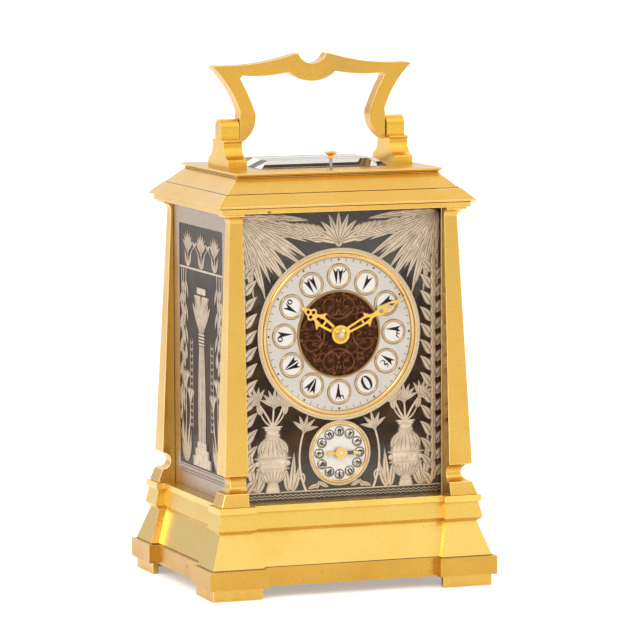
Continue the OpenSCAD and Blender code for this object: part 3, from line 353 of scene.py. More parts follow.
def brushedMaterial(name, light, dark, rough, scale=1500.0, stretch=(1, 1, 1), metal=1.0, depth=0.00001,
                    shine=0.5, centre=None):
    material, tree, shader = newMaterial(name, Metallic=metal, Specular_IOR_Level=shine)
    brush = addNode(tree, "Group", {"node_tree": brushLines}, Stretch=stretch, Centre=centre or (0, 0, 0),
                    Rings=1.0 if centre else 0.0, Scale=scale)
    lines, cloud = brush.outputs["Lines"], brush.outputs["Cloud"]
    share = plus(tree, times(tree, lines, 0.5), times(tree, cloud, 0.5))
    setInputs(tree, shader, Base_Color=mixColour(tree, ramp(tree, share, 0.35, 0.65), dark, light),
              Roughness=ramp(tree, cloud, 0.3, 0.7, rough - 0.05, rough + 0.08))
    bumpInto(tree, shader, lines, depth)
    return material


def chasedMaterial(name, light, dark, ribs=0.0, hatch=0.0, rough=0.36):
    # Chased lines follow each leaf: a dark outline, part cut line and part painted shade where the relief
    # meets the ground, a midrib and slanting hatches. On the copper scrolls the light crests are part rubbed
    # copper and part painted highlight.
    material, tree, shader = newMaterial(name, Metallic=0.85)
    spot = addNode(tree, "SeparateXYZ", i0=addNode(tree, "TexCoord").outputs["UV"])
    across = times(tree, mathNode(tree, "ABSOLUTE", minus(tree, spot.outputs[1], 0.5)), 2.0)
    outline = ramp(tree, across, 0.66, 0.92)
    rib = times(tree, ramp(tree, across, 0.04, 0.14, 1.0, 0.0), ribs)
    slant = mathNode(tree, "FRACT", minus(tree, times(tree, spot.outputs[0], 1.15), across))
    line = ramp(tree, mathNode(tree, "ABSOLUTE", minus(tree, slant, 0.5)), 0.38, 0.46)
    cutLinesAndShade = mathNode(tree, "MAXIMUM", mathNode(tree, "MAXIMUM", outline, rib), times(tree, line, hatch))
    cloud = noise(tree, objectAt(tree), 380.0, 4.0)
    silver = mixColour(tree, ramp(tree, cloud, 0.35, 0.68), light, [c * 0.8 for c in light])
    setInputs(tree, shader, Base_Color=mixColour(tree, times(tree, cutLinesAndShade, 0.92), silver, dark),
              Roughness=ramp(tree, plus(tree, cutLinesAndShade, cloud), 0.3, 1.6, rough, rough + 0.25))
    bumpInto(tree, shader, minus(tree, 1.0, cutLinesAndShade), 0.00004)
    return material


def glassMaterial(name, tint, ior):
    material, tree, shader = newMaterial(
        name, Base_Color=tint, Roughness=0.01, IOR=ior, Transmission_Weight=1.0)
    clear = addNode(tree, "BsdfTransparent", i0=(0.93, 0.96, 0.95)).outputs[0]
    inShadow = addNode(tree, "LightPath").outputs["Is Shadow Ray"]
    mixed = addNode(tree, "MixShader", i0=inShadow, i1=shader.outputs[0], i2=clear)
    setInputs(tree, tree.nodes["Material Output"], Surface=mixed.outputs[0])
    return material


def nielloMaterial():
    # Blackened ground: cool grey at the top, a painted reflection of haze on the glass, grey also at the
    # bottom, and warm brown patina beside the dial
    material, tree, shader = newMaterial("nielloGround", Metallic=0.9)
    at = objectAt(tree)
    cloud = noise(tree, at, 130.0, 6.0, 0.65)
    fine = noise(tree, at, 1400.0, 3.0)
    level = plus(tree, objectAxis(tree, 2), ramp(tree, cloud, 0.3, 0.7, -0.009, 0.009))
    warm = times(tree, ramp(tree, level, 0.106, 0.122, 1.0, 0.0), ramp(tree, level, 0.045, 0.058))
    brown = mixColour(tree, ramp(tree, cloud, 0.47, 0.66), (0.026, 0.012, 0.005), (0.085, 0.038, 0.01))
    # grey tone: at the top it is a painted reflection of haze on the glass
    grey = mixColour(tree, ramp(tree, cloud, 0.35, 0.65), (0.07, 0.065, 0.062), (0.1, 0.088, 0.076))
    tone = mixColour(tree, warm, grey, brown)
    setInputs(tree, shader, Roughness=ramp(tree, cloud, 0.3, 0.7, 0.38, 0.55),
              Base_Color=mixColour(tree, ramp(tree, fine, 0.3, 0.7, 0.0, 0.3), tone, (0.02, 0.014, 0.01)))
    bumpInto(tree, shader, fine, 0.000004)
    return material


handAxis, alarmAxis = (0, 0, 0.0961), (0, 0, 0.0513)
toneLimits = {  # metres over which one finish gives way to the other
    "bezelRim": (0.0311, 0.0313), "bezelOutside": (0.0326, 0.0327), "alarmRim": (0.0114, 0.01155),
    "nutCentre": (0.0006, 0.0008), "hubDomePaintedShade": (0.00255, 0.00265), "stemTop": (0.1613, 0.1616),
    "shaftStart": (0.0024, 0.003), "shaftEnd": (0.0048, 0.0056),
}


def bezelRims(tree):
    main, alarm = radiusFrom(tree, objectAt(tree), handAxis), radiusFrom(tree, objectAt(tree), alarmAxis)
    beyond = ramp(tree, main, *toneLimits["bezelOutside"])
    mainRim = minus(tree, ramp(tree, main, *toneLimits["bezelRim"]), beyond)
    alarmRim = times(tree, ramp(tree, alarm, *toneLimits["alarmRim"]), beyond)
    return mathNode(tree, "MAXIMUM", mainRim, alarmRim)


def nearHandAxis(limit):
    return lambda tree: ramp(tree, radiusFrom(tree, objectAt(tree), handAxis), *toneLimits[limit], 1.0, 0.0)


def buttonStem(tree):
    return ramp(tree, objectAxis(tree, 2), *toneLimits["stemTop"], 1.0, 0.0)


def alarmShaft(tree):
    across = objectAxis(tree, 0)
    return times(tree, ramp(tree, across, *toneLimits["shaftStart"]),
                 ramp(tree, across, *toneLimits["shaftEnd"], 1.0, 0.0))


basePaintedLight = [  # lowest and highest point in millimetres, and the tint of painted light and shade: plinth darker, slope and frieze lighter
    (3.9, 11.4, (0.87, 0.8, 0.6)), (11.4, 25.9, (1.02, 1.14, 1.4)), (25.9, 34.5, (1.12, 1.24, 1.3)),
]
giltLooks = {  # main and deep colour, roughness, worn spots, depth of the grain, bands of painted light and shade
    "giltBrass": ((0.75, 0.455, 0.09), (0.67, 0.37, 0.055), 0.28, 1.0),
    "baseGilt": ((0.75, 0.455, 0.09), (0.67, 0.37, 0.055), 0.28, 1.0, 0.00001, basePaintedLight),
    "bracketGilt": ((0.82, 0.48, 0.05), (0.68, 0.36, 0.04), 0.27, 1.0),
    # lighter gilt for the bevelled edges, a painted highlight
    "edgeGilt": ((0.95, 0.68, 0.27), (0.85, 0.55, 0.16), 0.16, 0.0, 0.000004),
    "jointShade": ((0.16, 0.075, 0.015), (0.07, 0.03, 0.008), 0.4, 0.0),
    "handleGilt": ((0.71, 0.39, 0.05), (0.5, 0.3, 0.09), 0.27, 1.6),
    "brightGilt": ((0.93, 0.56, 0.1), (0.85, 0.46, 0.06), 0.2, 0.3),
    "handGilt": ((0.82, 0.5, 0.07), (0.55, 0.3, 0.035), 0.16, 0.0, 0.000004),
    "rimGilt": ((0.58, 0.39, 0.17), (0.46, 0.28, 0.09), 0.18, 0.0, 0.000004),
    "lineGilt": ((0.4, 0.2, 0.05), (0.32, 0.16, 0.04), 0.3, 0.0, 0.000004),
}
twoToneLooks = {  # main and deep colour of the gilding, the other colour, roughness, where the other lies
    "bezelGilt": ((0.7, 0.46, 0.19), (0.62, 0.37, 0.12), (0.5, 0.39, 0.25), 0.16, bezelRims),
    "nutGilt": ((0.62, 0.43, 0.12), (0.45, 0.28, 0.06), (0.75, 0.74, 0.72), 0.1,
                nearHandAxis("nutCentre")),
    # the hub's dome is coloured darker than its ring, a painted shade
    "hubGilt": ((0.82, 0.5, 0.07), (0.55, 0.3, 0.035), (0.52, 0.34, 0.06), 0.13,
                nearHandAxis("hubDomePaintedShade")),
    "buttonGilt": ((0.9, 0.55, 0.12), (0.8, 0.45, 0.08), (0.34, 0.33, 0.34), 0.16, buttonStem),
    "alarmGilt": ((0.78, 0.5, 0.11), (0.55, 0.32, 0.06), (0.1, 0.075, 0.055), 0.16, alarmShaft),
}
evenGrain = (1, 1, 1)
brushedLooks = {  # light, dark, roughness, scale and stretch of the lines, metal, depth, shine, centre
    "plateBrass": ((0.64, 0.45, 0.17), (0.47, 0.31, 0.1), 0.28, 120.0, (60, 1, 1)),
    "wheelBrass": ((0.78, 0.55, 0.2), (0.6, 0.4, 0.12), 0.2, 900.0),
    "silveredPlate": ((0.48, 0.39, 0.325), (0.35, 0.275, 0.22), 0.34, 200.0, (1, 1, 14)),
    "chapterSilver": ((0.6, 0.55, 0.5), (0.48, 0.43, 0.38), 0.36, 2600.0, evenGrain, 0.6, 0.000004,
                      0.5, handAxis),
    "whiteEnamel": ((0.68, 0.635, 0.59), (0.6, 0.55, 0.51), 0.12, 300.0, evenGrain, 0.15, 0.000001),
    "alarmWhite": ((0.72, 0.67, 0.61), (0.6, 0.55, 0.5), 0.3, 300.0, evenGrain, 0.4, 0.000001),
    "domeSilver": ((0.55, 0.5, 0.44), (0.4, 0.35, 0.3), 0.2, 500.0, evenGrain, 0.9, 0.000001),
    "darkCopper": ((0.05, 0.016, 0.005), (0.028, 0.009, 0.003), 0.36, 1200.0, evenGrain, 1.0, 0.00002),
    "polishedSteel": ((0.6, 0.6, 0.61), (0.42, 0.42, 0.44), 0.2, 200.0, (1, 30, 1)),
    "bluedSteel": ((0.05, 0.07, 0.2), (0.025, 0.03, 0.09), 0.22, 500.0),
    "ruby": ((0.5, 0.01, 0.04), (0.3, 0.005, 0.02), 0.08, 400.0, evenGrain, 0.0, 0.000001),
    "greyInlay": ((0.05, 0.042, 0.035), (0.02, 0.017, 0.014), 0.5, 1500.0, evenGrain, 0.0, 0.00001, 0.1),
    "blackInlay": ((0.016, 0.011, 0.008), (0.006, 0.004, 0.003), 0.3, 1500.0, evenGrain, 0.0, 0.00001, 0.08),
}
chasedLooks = {  # light and dark colour, strength of ribs and hatches, roughness
    "chasedLeaf": ((0.66, 0.52, 0.385), (0.03, 0.02, 0.013), 1.0, 0.35),
    "chasedPlain": ((0.66, 0.53, 0.4), (0.03, 0.02, 0.013)),
    # chasedCopper: light crests part rubbed copper, part painted highlight; dark edges painted shade
    "chasedCopper": ((0.4, 0.145, 0.05), (0.018, 0.006, 0.003), 0.0, 0.0, 0.2),
}
glassLooks = {  # tint, and how strongly it bends light
    "frontGlass": ((0.995, 0.995, 0.99), 1.12), "topGlass": ((0.99, 0.965, 0.9), 1.3),
    "doorGlass": ((0.98, 0.99, 0.985), 1.15),
}
surfaces = {"nielloGround": nielloMaterial()}
for makeMaterial, looks in ((giltMaterial, giltLooks), (twoToneMaterial, twoToneLooks),
                            (brushedMaterial, brushedLooks), (chasedMaterial, chasedLooks),
                            (glassMaterial, glassLooks)):
    for look, values in looks.items():
        surfaces[look] = makeMaterial(look, *values)
print("materials made:", len(surfaces))

# Case parts with their edges softened

softEdges = {
    "corner_feet": 0.25, "base_moulding": 0.3, "base_plate": 0.25, "column_front_left": 0.25,
    "column_front_right": 0.25, "column_back_left": 0.25, "column_back_right": 0.25,
    "roof_casting": 0.25, "handle_bracket_left": 0.2, "handle_bracket_right": 0.2,
    "carrying_handle": 0.28, "door_frame": 0.2, "hour_hand": 0.07, "minute_hand": 0.07,
}
softFinish = {  # the others are giltBrass
    "carrying_handle": "handleGilt", "hour_hand": "handGilt", "minute_hand": "hubGilt",
    "base_moulding": "baseGilt", "base_plate": "baseGilt", "handle_bracket_left": "bracketGilt",
    "handle_bracket_right": "bracketGilt",
}
sharpAngle = math.radians(24)


def softenedPart(name, width):
    shape = bmesh.new()
    shape.from_mesh(cadNodes[name].data)
    bmesh.ops.remove_doubles(shape, verts=shape.verts, dist=0.000003)
    bmesh.ops.dissolve_limit(shape, angle_limit=math.radians(0.6), verts=shape.verts, edges=shape.edges)
    sharp = [e for e in shape.edges if len(e.link_faces) == 2 and e.calc_face_angle(0.0) > sharpAngle]
    rounded = bmesh.ops.bevel(shape, geom=sharp, offset=width * mm, offset_type="OFFSET", segments=2,
                              profile=0.5, affect="EDGES", material=-1, clamp_overlap=True)
    # the bevel faces take the lighter edge gilt, a painted highlight along every softened edge
    for face in rounded["faces"]:
        face.material_index = 1
    for face in shape.faces:
        face.smooth = True
    main = surfaces[softFinish.get(name, "giltBrass")]
    piece = newObject(name + "_soft", meshFrom(shape, name + "_soft", main, surfaces["edgeGilt"]))
    weighted = piece.modifiers.new("weightedNormals", "WEIGHTED_NORMAL")
    weighted.keep_sharp = True
    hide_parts(name)
    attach(piece, nodeBody[name])


for partName, width in softEdges.items():
    softenedPart(partName, width)
print("case edges softened")

# Relief work: leaves, stems, petals and beads laid on a face


def toward(angle):
    turn = math.radians(angle)
    return Vector((math.cos(turn), math.sin(turn)))


def curvePath(start, heading, length, bend=0.0, curl=0.0, steps=24):
    points = [Vector(start)]
    for step in range(steps):
        u = (step + 0.5) / steps
        points.append(points[-1] + toward(heading + bend * u + curl * u * u) * (length / steps))
    return points


def alongPath(points, u):
    spot = min(max(u, 0.0), 1.0) * (len(points) - 1)
    index = min(int(spot), len(points) - 2)
    before, after = points[max(index - 1, 0)], points[min(index + 2, len(points) - 1)]
    ahead = (after - before).normalized()
    return points[index].lerp(points[index + 1], spot - index), Vector((-ahead.y, ahead.x))


def leafWidth(widest, at=0.4):
    power = math.log(0.5) / math.log(at)
    return lambda u: widest * math.sin(math.pi * min(max(u, 0.0), 1.0) ** power)


def widthAlong(width):
    # A width may be one number, the first and last of a taper, or a function of the way along
    if callable(width):
        return width
    first, last = width if isinstance(width, tuple) else (width, width)
    return lambda u: first + (last - first) * u


def newRelief(place=None, keep=None):
    # place gives the point of a, b and height on the face, keep tells how far the work may reach
    shape = bmesh.new()
    shape.loops.layers.uv.new("chasing")
    return SimpleNamespace(shape=shape, place=place, keep=keep)


def reachOf(relief, points):
    # The share of a line, from its start, that lies where the work may reach
    tested = [u / 40 for u in range(41)] if relief.keep else []
    return min((u for u in tested if not relief.keep(*alongPath(points, u)[0])), default=1.0)


def addStrip(relief, points, width, rise, along=8, across=2, lift=0.0, edge=0.35, tilt=0.0):
    shape, width, points = relief.shape, widthAlong(width), [Vector(point) for point in points]
    end = reachOf(relief, points)
    if end < 0.12:
        return
    layer = shape.loops.layers.uv.active
    length = sum((b - a).length for a, b in zip(points, points[1:]))
    under = bmesh.ops.create_grid(shape, x_segments=along, y_segments=across, size=0.5)["verts"]
    raised = bmesh.ops.extrude_face_region(shape, geom=list({f for v in under for f in v.link_faces}))
    top = {v for v in raised["geom"] if isinstance(v, bmesh.types.BMVert)}
    spots = {v: (v.co.x + 0.5, v.co.y * 2) for v in list(under) + list(top)}
    for vert, (u, v) in spots.items():
        at, side = alongPath(points, u * end)
        half = max(width(u * end), 0.05) / 2
        height = lift + tilt * u + rise * (edge + (1 - edge) * (1 - v * v)) if vert in top else -0.02
        flat = at + side * v * half
        vert.co = relief.place(flat.x, flat.y, height) * mm
    for face in {f for v in spots for f in v.link_faces}:
        for loop in face.loops:
            u, v = spots[loop.vert]
            loop[layer].uv = (u * end * length, v / 2 + 0.5)


def addLeaf(relief, start, heading, length, width, bend=0.0, at=0.4, rise=0.14, along=7, **more):
    addStrip(relief, curvePath(start, heading, length, bend), leafWidth(width, at), rise, along=along, **more)


def addFlower(relief, start, heading, size, petals=7, spread=124, lift=0.02):
    middle = (petals - 1) / 2
    order = sorted(range(petals), key=lambda i: -abs(i - middle))
    for level, i in enumerate(order):
        turn = spread * (i / (petals - 1) - 0.5)
        addLeaf(relief, start, heading - turn * 0.8, size * (1 - 0.1 * abs(i - middle) / middle), size * 0.24,
                bend=-turn * 0.5, at=0.46, lift=lift + 0.006 * level)
    addLeaf(relief, Vector(start) - toward(heading) * size * 0.1, heading, size * 0.34, size * 0.34,
            at=0.5, rise=0.12, along=5, lift=lift + 0.05)


def addUmbel(relief, start, heading, size, lift=0.02):
    ahead = toward(heading)
    for i in range(7):
        across = i / 3 - 1
        begin = Vector(start) + ahead * size * 0.72 + Vector((-ahead.y, ahead.x)) * size * 0.42 * across
        addLeaf(relief, begin, heading + 30 * across, size * 0.42, size * 0.2, lift=lift, along=4)
    addStrip(relief, curvePath(start, heading, size * 0.86), lambda u: size * (0.16 + 0.95 * u ** 1.6), 0.13,
             along=6, across=6, lift=lift + 0.03)


def addBead(relief, at, radius, rise=0.16, lift=0.0):
    layer = relief.shape.loops.layers.uv.active
    verts = bmesh.ops.create_uvsphere(relief.shape, u_segments=10, v_segments=6, radius=1.0)["verts"]
    for vert in verts:
        a, b, h = vert.co
        vert.co = relief.place(at[0] + radius * a, at[1] + radius * b, lift + rise * h) * mm
    for face in {f for v in verts for f in v.link_faces}:
        for loop in face.loops:
            loop[layer].uv = (0.5, 0.5)


def addCircle(relief, centre, radius, width, rise, along):
    path = [centre + toward(7.5 * k) * radius for k in range(49)]
    addStrip(relief, path, width, rise, along=along)


def finishRelief(relief, name, node, surface):
    shape, body = relief.shape, nodeBody[node]
    bmesh.ops.recalc_face_normals(shape, faces=shape.faces)
    for face in shape.faces:
        face.smooth = True
    mesh = meshFrom(shape, name, surfaces[surface])
    mesh.set_sharp_from_angle(angle=math.radians(50))
    piece = newObject(name, mesh)
    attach(piece, body)
    return piece


# Chased work of the dial mask, mirrored left and right

frontRelief = {
    "ground": -30.0, "halfWidth": 41.3, "low": 34.8, "high": 142.5,
    "clear": [(0.0, 96.1, 32.0), (0.0, 51.3, 12.0)],  # middle and radius of the dials
    "corner": (39.8, 141.0), "fan": (184.0, 82.0),  # first heading and spread of the blades
    "fanTiers": [(2.5, 31.0, 2.8, 15, 0.0), (1.5, 24.0, 2.6, 14, 0.05), (0.5, 16.5, 2.3, 12, 0.1),
                 (0.0, 9.0, 1.9, 9, 0.15)],  # start, length, width, blades and lift of each tier
    "palmette": (0.0, 130.0), "spray": ((3.2, 130.8), 34, 19.0, -40), "sprayPairs": 8,
    "stalkX": 37.8, "scales": 27, "scaleStep": 3.1, "scaleLength": 7.4,
    "groundLine": 37.5, "groundEnd": 41.2, "waterLines": (35.5, 36.5), "wave": (41, 1.03, 0.28),
    "grass": [(19.0, 118, 10.0, -24), (19.4, 98, 15.0, -6), (20.4, 78, 11.0, 14), (33.6, 104, 15.0, -10),
              (34.2, 84, 21.0, 4), (33.0, 128, 9.0, -30)],  # x, heading, length and bend of each blade
    "vine": ((13.4, 37.5), 66, 23.0, 44), "tendril": ((14.6, 40.5), 120, 9.0, -60, -300),
    "lowLeaves": [((12.8, 38.3), 158, 5.6), ((4.4, 38.6), 22, 5.0), ((9.2, 38.1), 100, 2.6)],
}
waterJar = {
    "x": 26.6, "height": 25.0,
    "widths": [(0.0, 7.0), (0.05, 6.6), (0.11, 4.8), (0.45, 15.0), (0.72, 12.5), (0.86, 6.0), (0.94, 6.0),
               (1.0, 9.6)],  # share of the height, and the width there
    "bands": [(0.1, 0.6), (0.36, 0.5), (0.52, 0.5), (0.86, 0.6), (0.95, 0.6)],  # share of the height, width
    "flowers": [(94, 7.4, 7.2, 0), (66, 10.6, 6.8, -16), (128, 8.6, 6.4, -18)],  # heading, length, size, bend
    "buds": [(26, 6.4, 40), (154, 6.4, -40)],
}


def frontOpen(a, b):
    clear = all(math.hypot(a - x, b - z) > radius for x, z, radius in frontRelief["clear"])
    return clear and abs(a) < frontRelief["halfWidth"] and frontRelief["low"] < b < frontRelief["high"]


def jarWidth(u):
    widths = waterJar["widths"]
    for (low, first), (high, last) in zip(widths, widths[1:]):
        if u <= high:
            share = (u - low) / (high - low)
            return first + (last - first) * (0.5 - 0.5 * math.cos(math.pi * share))
    return widths[-1][1]


def addFan(leaves):
    # Tiers of palm blades, the shorter ones lying on the longer
    first, spread = frontRelief["fan"]
    for start, length, width, count, lift in frontRelief["fanTiers"]:
        for i in range(count):
            heading = first + spread * i / (count - 1)
            uneven = 1 - 0.09 * (1 + math.cos(2.6 * i + length))
            addLeaf(leaves, Vector(frontRelief["corner"]) + toward(heading) * start, heading - 4,
                    length * uneven, width, bend=8 + 7 * math.sin(1.9 * i), at=0.5, lift=lift, along=12)


def addJar(leaves, stems):
    x = waterJar["x"]
    up = lambda share: frontRelief["groundLine"] + waterJar["height"] * share
    addStrip(stems, [(x, up(0)), (x, up(1))], jarWidth, 0.2, along=30, across=6, edge=0.5)
    for share, width in waterJar["bands"]:
        half = jarWidth(share) / 2 - 0.1
        addStrip(stems, [(x - half, up(share)), (x + half, up(share))], width, 0.1, along=4, lift=0.16)
    for i in range(7):
        lean = (i - 3) / 3
        for shift, share, first, turn, length, width, bend in ((2.0, 0.84, 270, 48, 7.6, 2.3, -34),
                                                               (1.5, 0.13, 90, -50, 5.6, 2.0, 30)):
            addLeaf(leaves, (x + lean * shift, up(share)), first + turn * lean, length, width,
                    bend=bend * lean, at=0.6, lift=0.12)
        addBead(stems, (x + lean * 6.1, up(0.44)), 0.85, 0.2, lift=0.14)
    mouth = Vector((x, up(1) - 0.3))
    for heading, length, size, bend in waterJar["flowers"]:
        stem = curvePath(mouth, heading, length, bend)
        addStrip(stems, stem, (1.0, 0.8), 0.14)
        addFlower(leaves, stem[-1], heading + bend, size, lift=0.04)
    for heading, length, bend in waterJar["buds"]:
        stem = curvePath(mouth, heading, length, bend)
        addStrip(stems, stem, (0.8, 0.6), 0.12)
        addLeaf(leaves, stem[-1], heading + bend, 4.6, 2.4, lift=0.03)


def addScales(leaves):
    # A tall stalk covered with overlapping pointed scales
    x, length = frontRelief["stalkX"], frontRelief["scaleLength"]
    for i in range(frontRelief["scales"]):
        z = frontRelief["groundLine"] + frontRelief["scaleStep"] * i
        side = 1 if i % 2 else -1
        addLeaf(leaves, (x + 0.8 * side, z), 90 - 22 * side, length, 3.7, bend=-34 * side, at=0.34, tilt=0.14,
                along=8)
        addLeaf(leaves, (x, z + 1.4), 90, length * 0.8, 2.6, tilt=0.16, lift=0.03, along=6)


def addSpray(leaves, stems):
    start, heading, length, bend = frontRelief["spray"]
    spray = curvePath(start, heading, length, bend)
    addStrip(stems, spray, (0.8, 0.3), 0.1, along=16)
    gaps = frontRelief["sprayPairs"] + 1
    for i in range(1, gaps):
        at, ahead = alongPath(spray, i / gaps)[0], heading + bend * i / gaps
        for turn in (40, -40):
            addLeaf(leaves, at, ahead + turn, 7.0 - 0.25 * i, 2.3, bend=-turn * 0.6, lift=0.02)


def addVine(leaves, stems):
    vine = curvePath(*frontRelief["vine"])
    addStrip(stems, vine, (1.1, 0.8), 0.14, along=18, lift=0.02)
    addFlower(leaves, vine[-1], 104, 6.8, petals=5, spread=116, lift=0.04)
    addStrip(stems, curvePath(*frontRelief["tendril"]), (0.9, 0.5), 0.12, along=18, lift=0.01)
    for start, heading, length in frontRelief["lowLeaves"]:
        addLeaf(leaves, start, heading, length, 1.9, bend=16, at=0.45, lift=0.03)


def addWaterLines(stems):
    count, step, height = frontRelief["wave"]
    for line in frontRelief["waterLines"]:
        wave = [(i * step, line + (height if i % 2 else -height)) for i in range(count)]
        addStrip(stems, wave, 0.36, 0.08, along=80, across=1)
    ground = frontRelief["groundLine"]
    addStrip(stems, [(0, ground), (frontRelief["groundEnd"], ground)], 0.6, 0.12, along=2)


def buildFrontRelief():
    leaves, stems = newRelief(keep=frontOpen), newRelief(keep=frontOpen)
    ground = frontRelief["groundLine"]
    for side in (1, -1):
        leaves.place = stems.place = lambda a, b, h: Vector((side * a, frontRelief["ground"] - h, b))
        addScales(leaves)
        addFan(leaves)
        addFlower(leaves, frontRelief["palmette"], 90, 12.0, petals=9, spread=150, lift=0.05)
        addSpray(leaves, stems)
        addJar(leaves, stems)
        for x, heading, length, bend in frontRelief["grass"]:
            addLeaf(leaves, (x, ground), heading, length, 2.9, bend=bend, at=0.35, lift=0.02, along=10)
        addVine(leaves, stems)
        addWaterLines(stems)
    finishRelief(leaves, "frontLeaves", "dial_mask", "chasedLeaf")
    finishRelief(stems, "frontStems", "dial_mask", "chasedPlain")


buildFrontRelief()
print("front relief laid")

# Side panels: a silvered plate with a sunk dark field, and relief in the field

sidePanel = {
    "outer": 44.2, "inner": 42.7, "halfDepth": 32.95, "low": 34.45, "high": 142.95,
    "fieldHalf": 25.0, "fieldLow": 43.4, "fieldHigh": 135.3, "sunk": 0.25,
    "borderLines": (40.2, 42.7), "borderCurls": 25,
    "barZ": 118.7, "flowers": (-15.5, 0.0, 15.5),
    "stalks": [(23.2, 118.0, 58.0, 4), (20.6, 118.0, 44.0, -7),
               (17.8, 118.2, 27.0, -10)],  # place, top, length and bend of each garland
    "bandEdges": (10.4, 13.4), "bandMiddle": 11.9, "bandLow": 58.0, "bandHigh": 92.0, "bandStep": 2.6,
    "root": (18.4, 44.4), "groundZ": 44.4,
    "umbels": [(112, 22.0, -18, 6.6), (90, 27.0, 0, 7.4), (70, 20.0, 12, 6.2)],  # heading, length, bend, size
    "blades": [(150, 11, -50), (128, 14, -24), (104, 15, 0), (80, 15, 6), (58, 13, 26), (36, 10, 40)],
}


def buildPanelPlate(name, side):
    p = sidePanel
    shape = bmesh.new()
    bmesh.ops.create_cube(shape, size=1.0)
    for vert in shape.verts:
        x = p["outer"] if vert.co.x > 0 else p["inner"]
        z = p["high"] if vert.co.z > 0 else p["low"]
        vert.co = Vector((side * x, p["halfDepth"] * (1 if vert.co.y > 0 else -1), z)) * mm
    front = max(shape.faces, key=lambda f: side * f.calc_center_median().x)
    bmesh.ops.inset_individual(shape, faces=[front], thickness=0.003)
    for vert in front.verts:
        z = p["fieldHigh"] if vert.co.z > 0.09 else p["fieldLow"]
        vert.co = Vector((vert.co.x / mm, p["fieldHalf"] * (1 if vert.co.y > 0 else -1), z)) * mm
    floor = bmesh.ops.extrude_discrete_faces(shape, faces=[front])["faces"][0]
    bmesh.ops.translate(shape, verts=floor.verts, vec=(-side * p["sunk"] * mm, 0, 0))
    bmesh.ops.recalc_face_normals(shape, faces=shape.faces)
    floor.material_index = 1
    mesh = meshFrom(shape, name + "_plate", surfaces["silveredPlate"], surfaces["nielloGround"])
    plate = newObject(name + "_plate", mesh)
    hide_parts(name)
    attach(plate, nodeBody[name])


def buildPanelBorder(name, side):
    p, half = sidePanel, sidePanel["fieldHalf"]
    border = newRelief(lambda a, b, h: Vector((side * (p["outer"] + h), side * a, b)))
    for z in p["borderLines"]:
        addStrip(border, [(-half, z), (half, z)], 0.22, 0.02, along=1, across=1)
    for i in range(p["borderCurls"]):
        start = (-half + 0.3 + 2 * i, p["borderLines"][0] + 0.5)
        addStrip(border, curvePath(start, 70, 2.6, -130), (0.3, 0.2), 0.02, along=6, across=1)
    finishRelief(border, name + "_border", name, "greyInlay")


def addFlowerRow(leaves, stems):
    bar = sidePanel["barZ"]
    for a in sidePanel["flowers"]:
        stem = curvePath((a, bar + 0.4), 90, 5.6)
        addStrip(stems, stem, (0.9, 0.8), 0.14, along=4)
        addFlower(leaves, stem[-1], 90, 8.6, spread=104)
        for turn in (1, -1):
            addLeaf(leaves, (a, bar + 0.5), 90 - 52 * turn, 7.4, 2.6, bend=44 * turn)
            bud = curvePath((a + 0.4 * turn, bar + 0.4), 90 - 18 * turn, 10.5, -44 * turn)
            if abs(a) < 1 or turn * a < 0:
                addStrip(stems, bud, (0.6, 0.5), 0.12)
                addLeaf(leaves, bud[-1], 90 - 60 * turn, 3.6, 1.8, at=0.5, lift=0.03)


def addGarlands(leaves, stems):
    for a, top, length, bend in sidePanel["stalks"]:
        stalk = curvePath((a, top), 270 - bend * 0.6, length, bend)
        addStrip(stems, stalk, (0.9, 0.5), 0.13, along=16, lift=0.01)
        addLeaf(leaves, stalk[-1], 270 + bend * 0.4, 8.0, 3.8, at=0.68, lift=0.04)
        for i in range(1, int(length / 4.4)):
            at = alongPath(stalk, i * 4.4 / length)[0]
            heading, turn = (236, 26) if i % 2 else (304, -26)
            addLeaf(leaves, at, heading, 7.6, 2.0, bend=turn, at=0.5, tilt=0.05)


def addLeafBand(leaves, stems):
    p = sidePanel
    for a in p["bandEdges"]:
        addStrip(stems, [(a, p["bandLow"]), (a, p["bandHigh"])], 0.35, 0.12, along=2)
    for i in range(int((p["bandHigh"] - p["bandLow"]) / p["bandStep"])):
        for lean in (40, 140):
            addLeaf(leaves, (p["bandMiddle"], p["bandLow"] + 0.6 + p["bandStep"] * i), lean, 1.9, 0.8, at=0.5)


def addClump(leaves, stems):
    root = sidePanel["root"]
    for heading, length, bend, size in sidePanel["umbels"]:
        stem = curvePath(root, heading, length, bend)
        addStrip(stems, stem, (1.2, 0.8), 0.14, along=10, lift=0.02)
        addUmbel(leaves, stem[-1], heading + bend, size)
    for heading, length, bend in sidePanel["blades"]:
        addLeaf(leaves, root, heading, length, 2.4, bend=bend, at=0.35, lift=0.04, along=9)


columnRelief = {
    "steps": [(44.0, 47.6, 25.0), (47.6, 50.8, 19.0), (50.8, 53.4, 13.0)],  # bottom, top and width
    "shaft": 53.4, "tie": 90.0, "bell": 95.0, "top": 109.0, "width": 8.4,
}


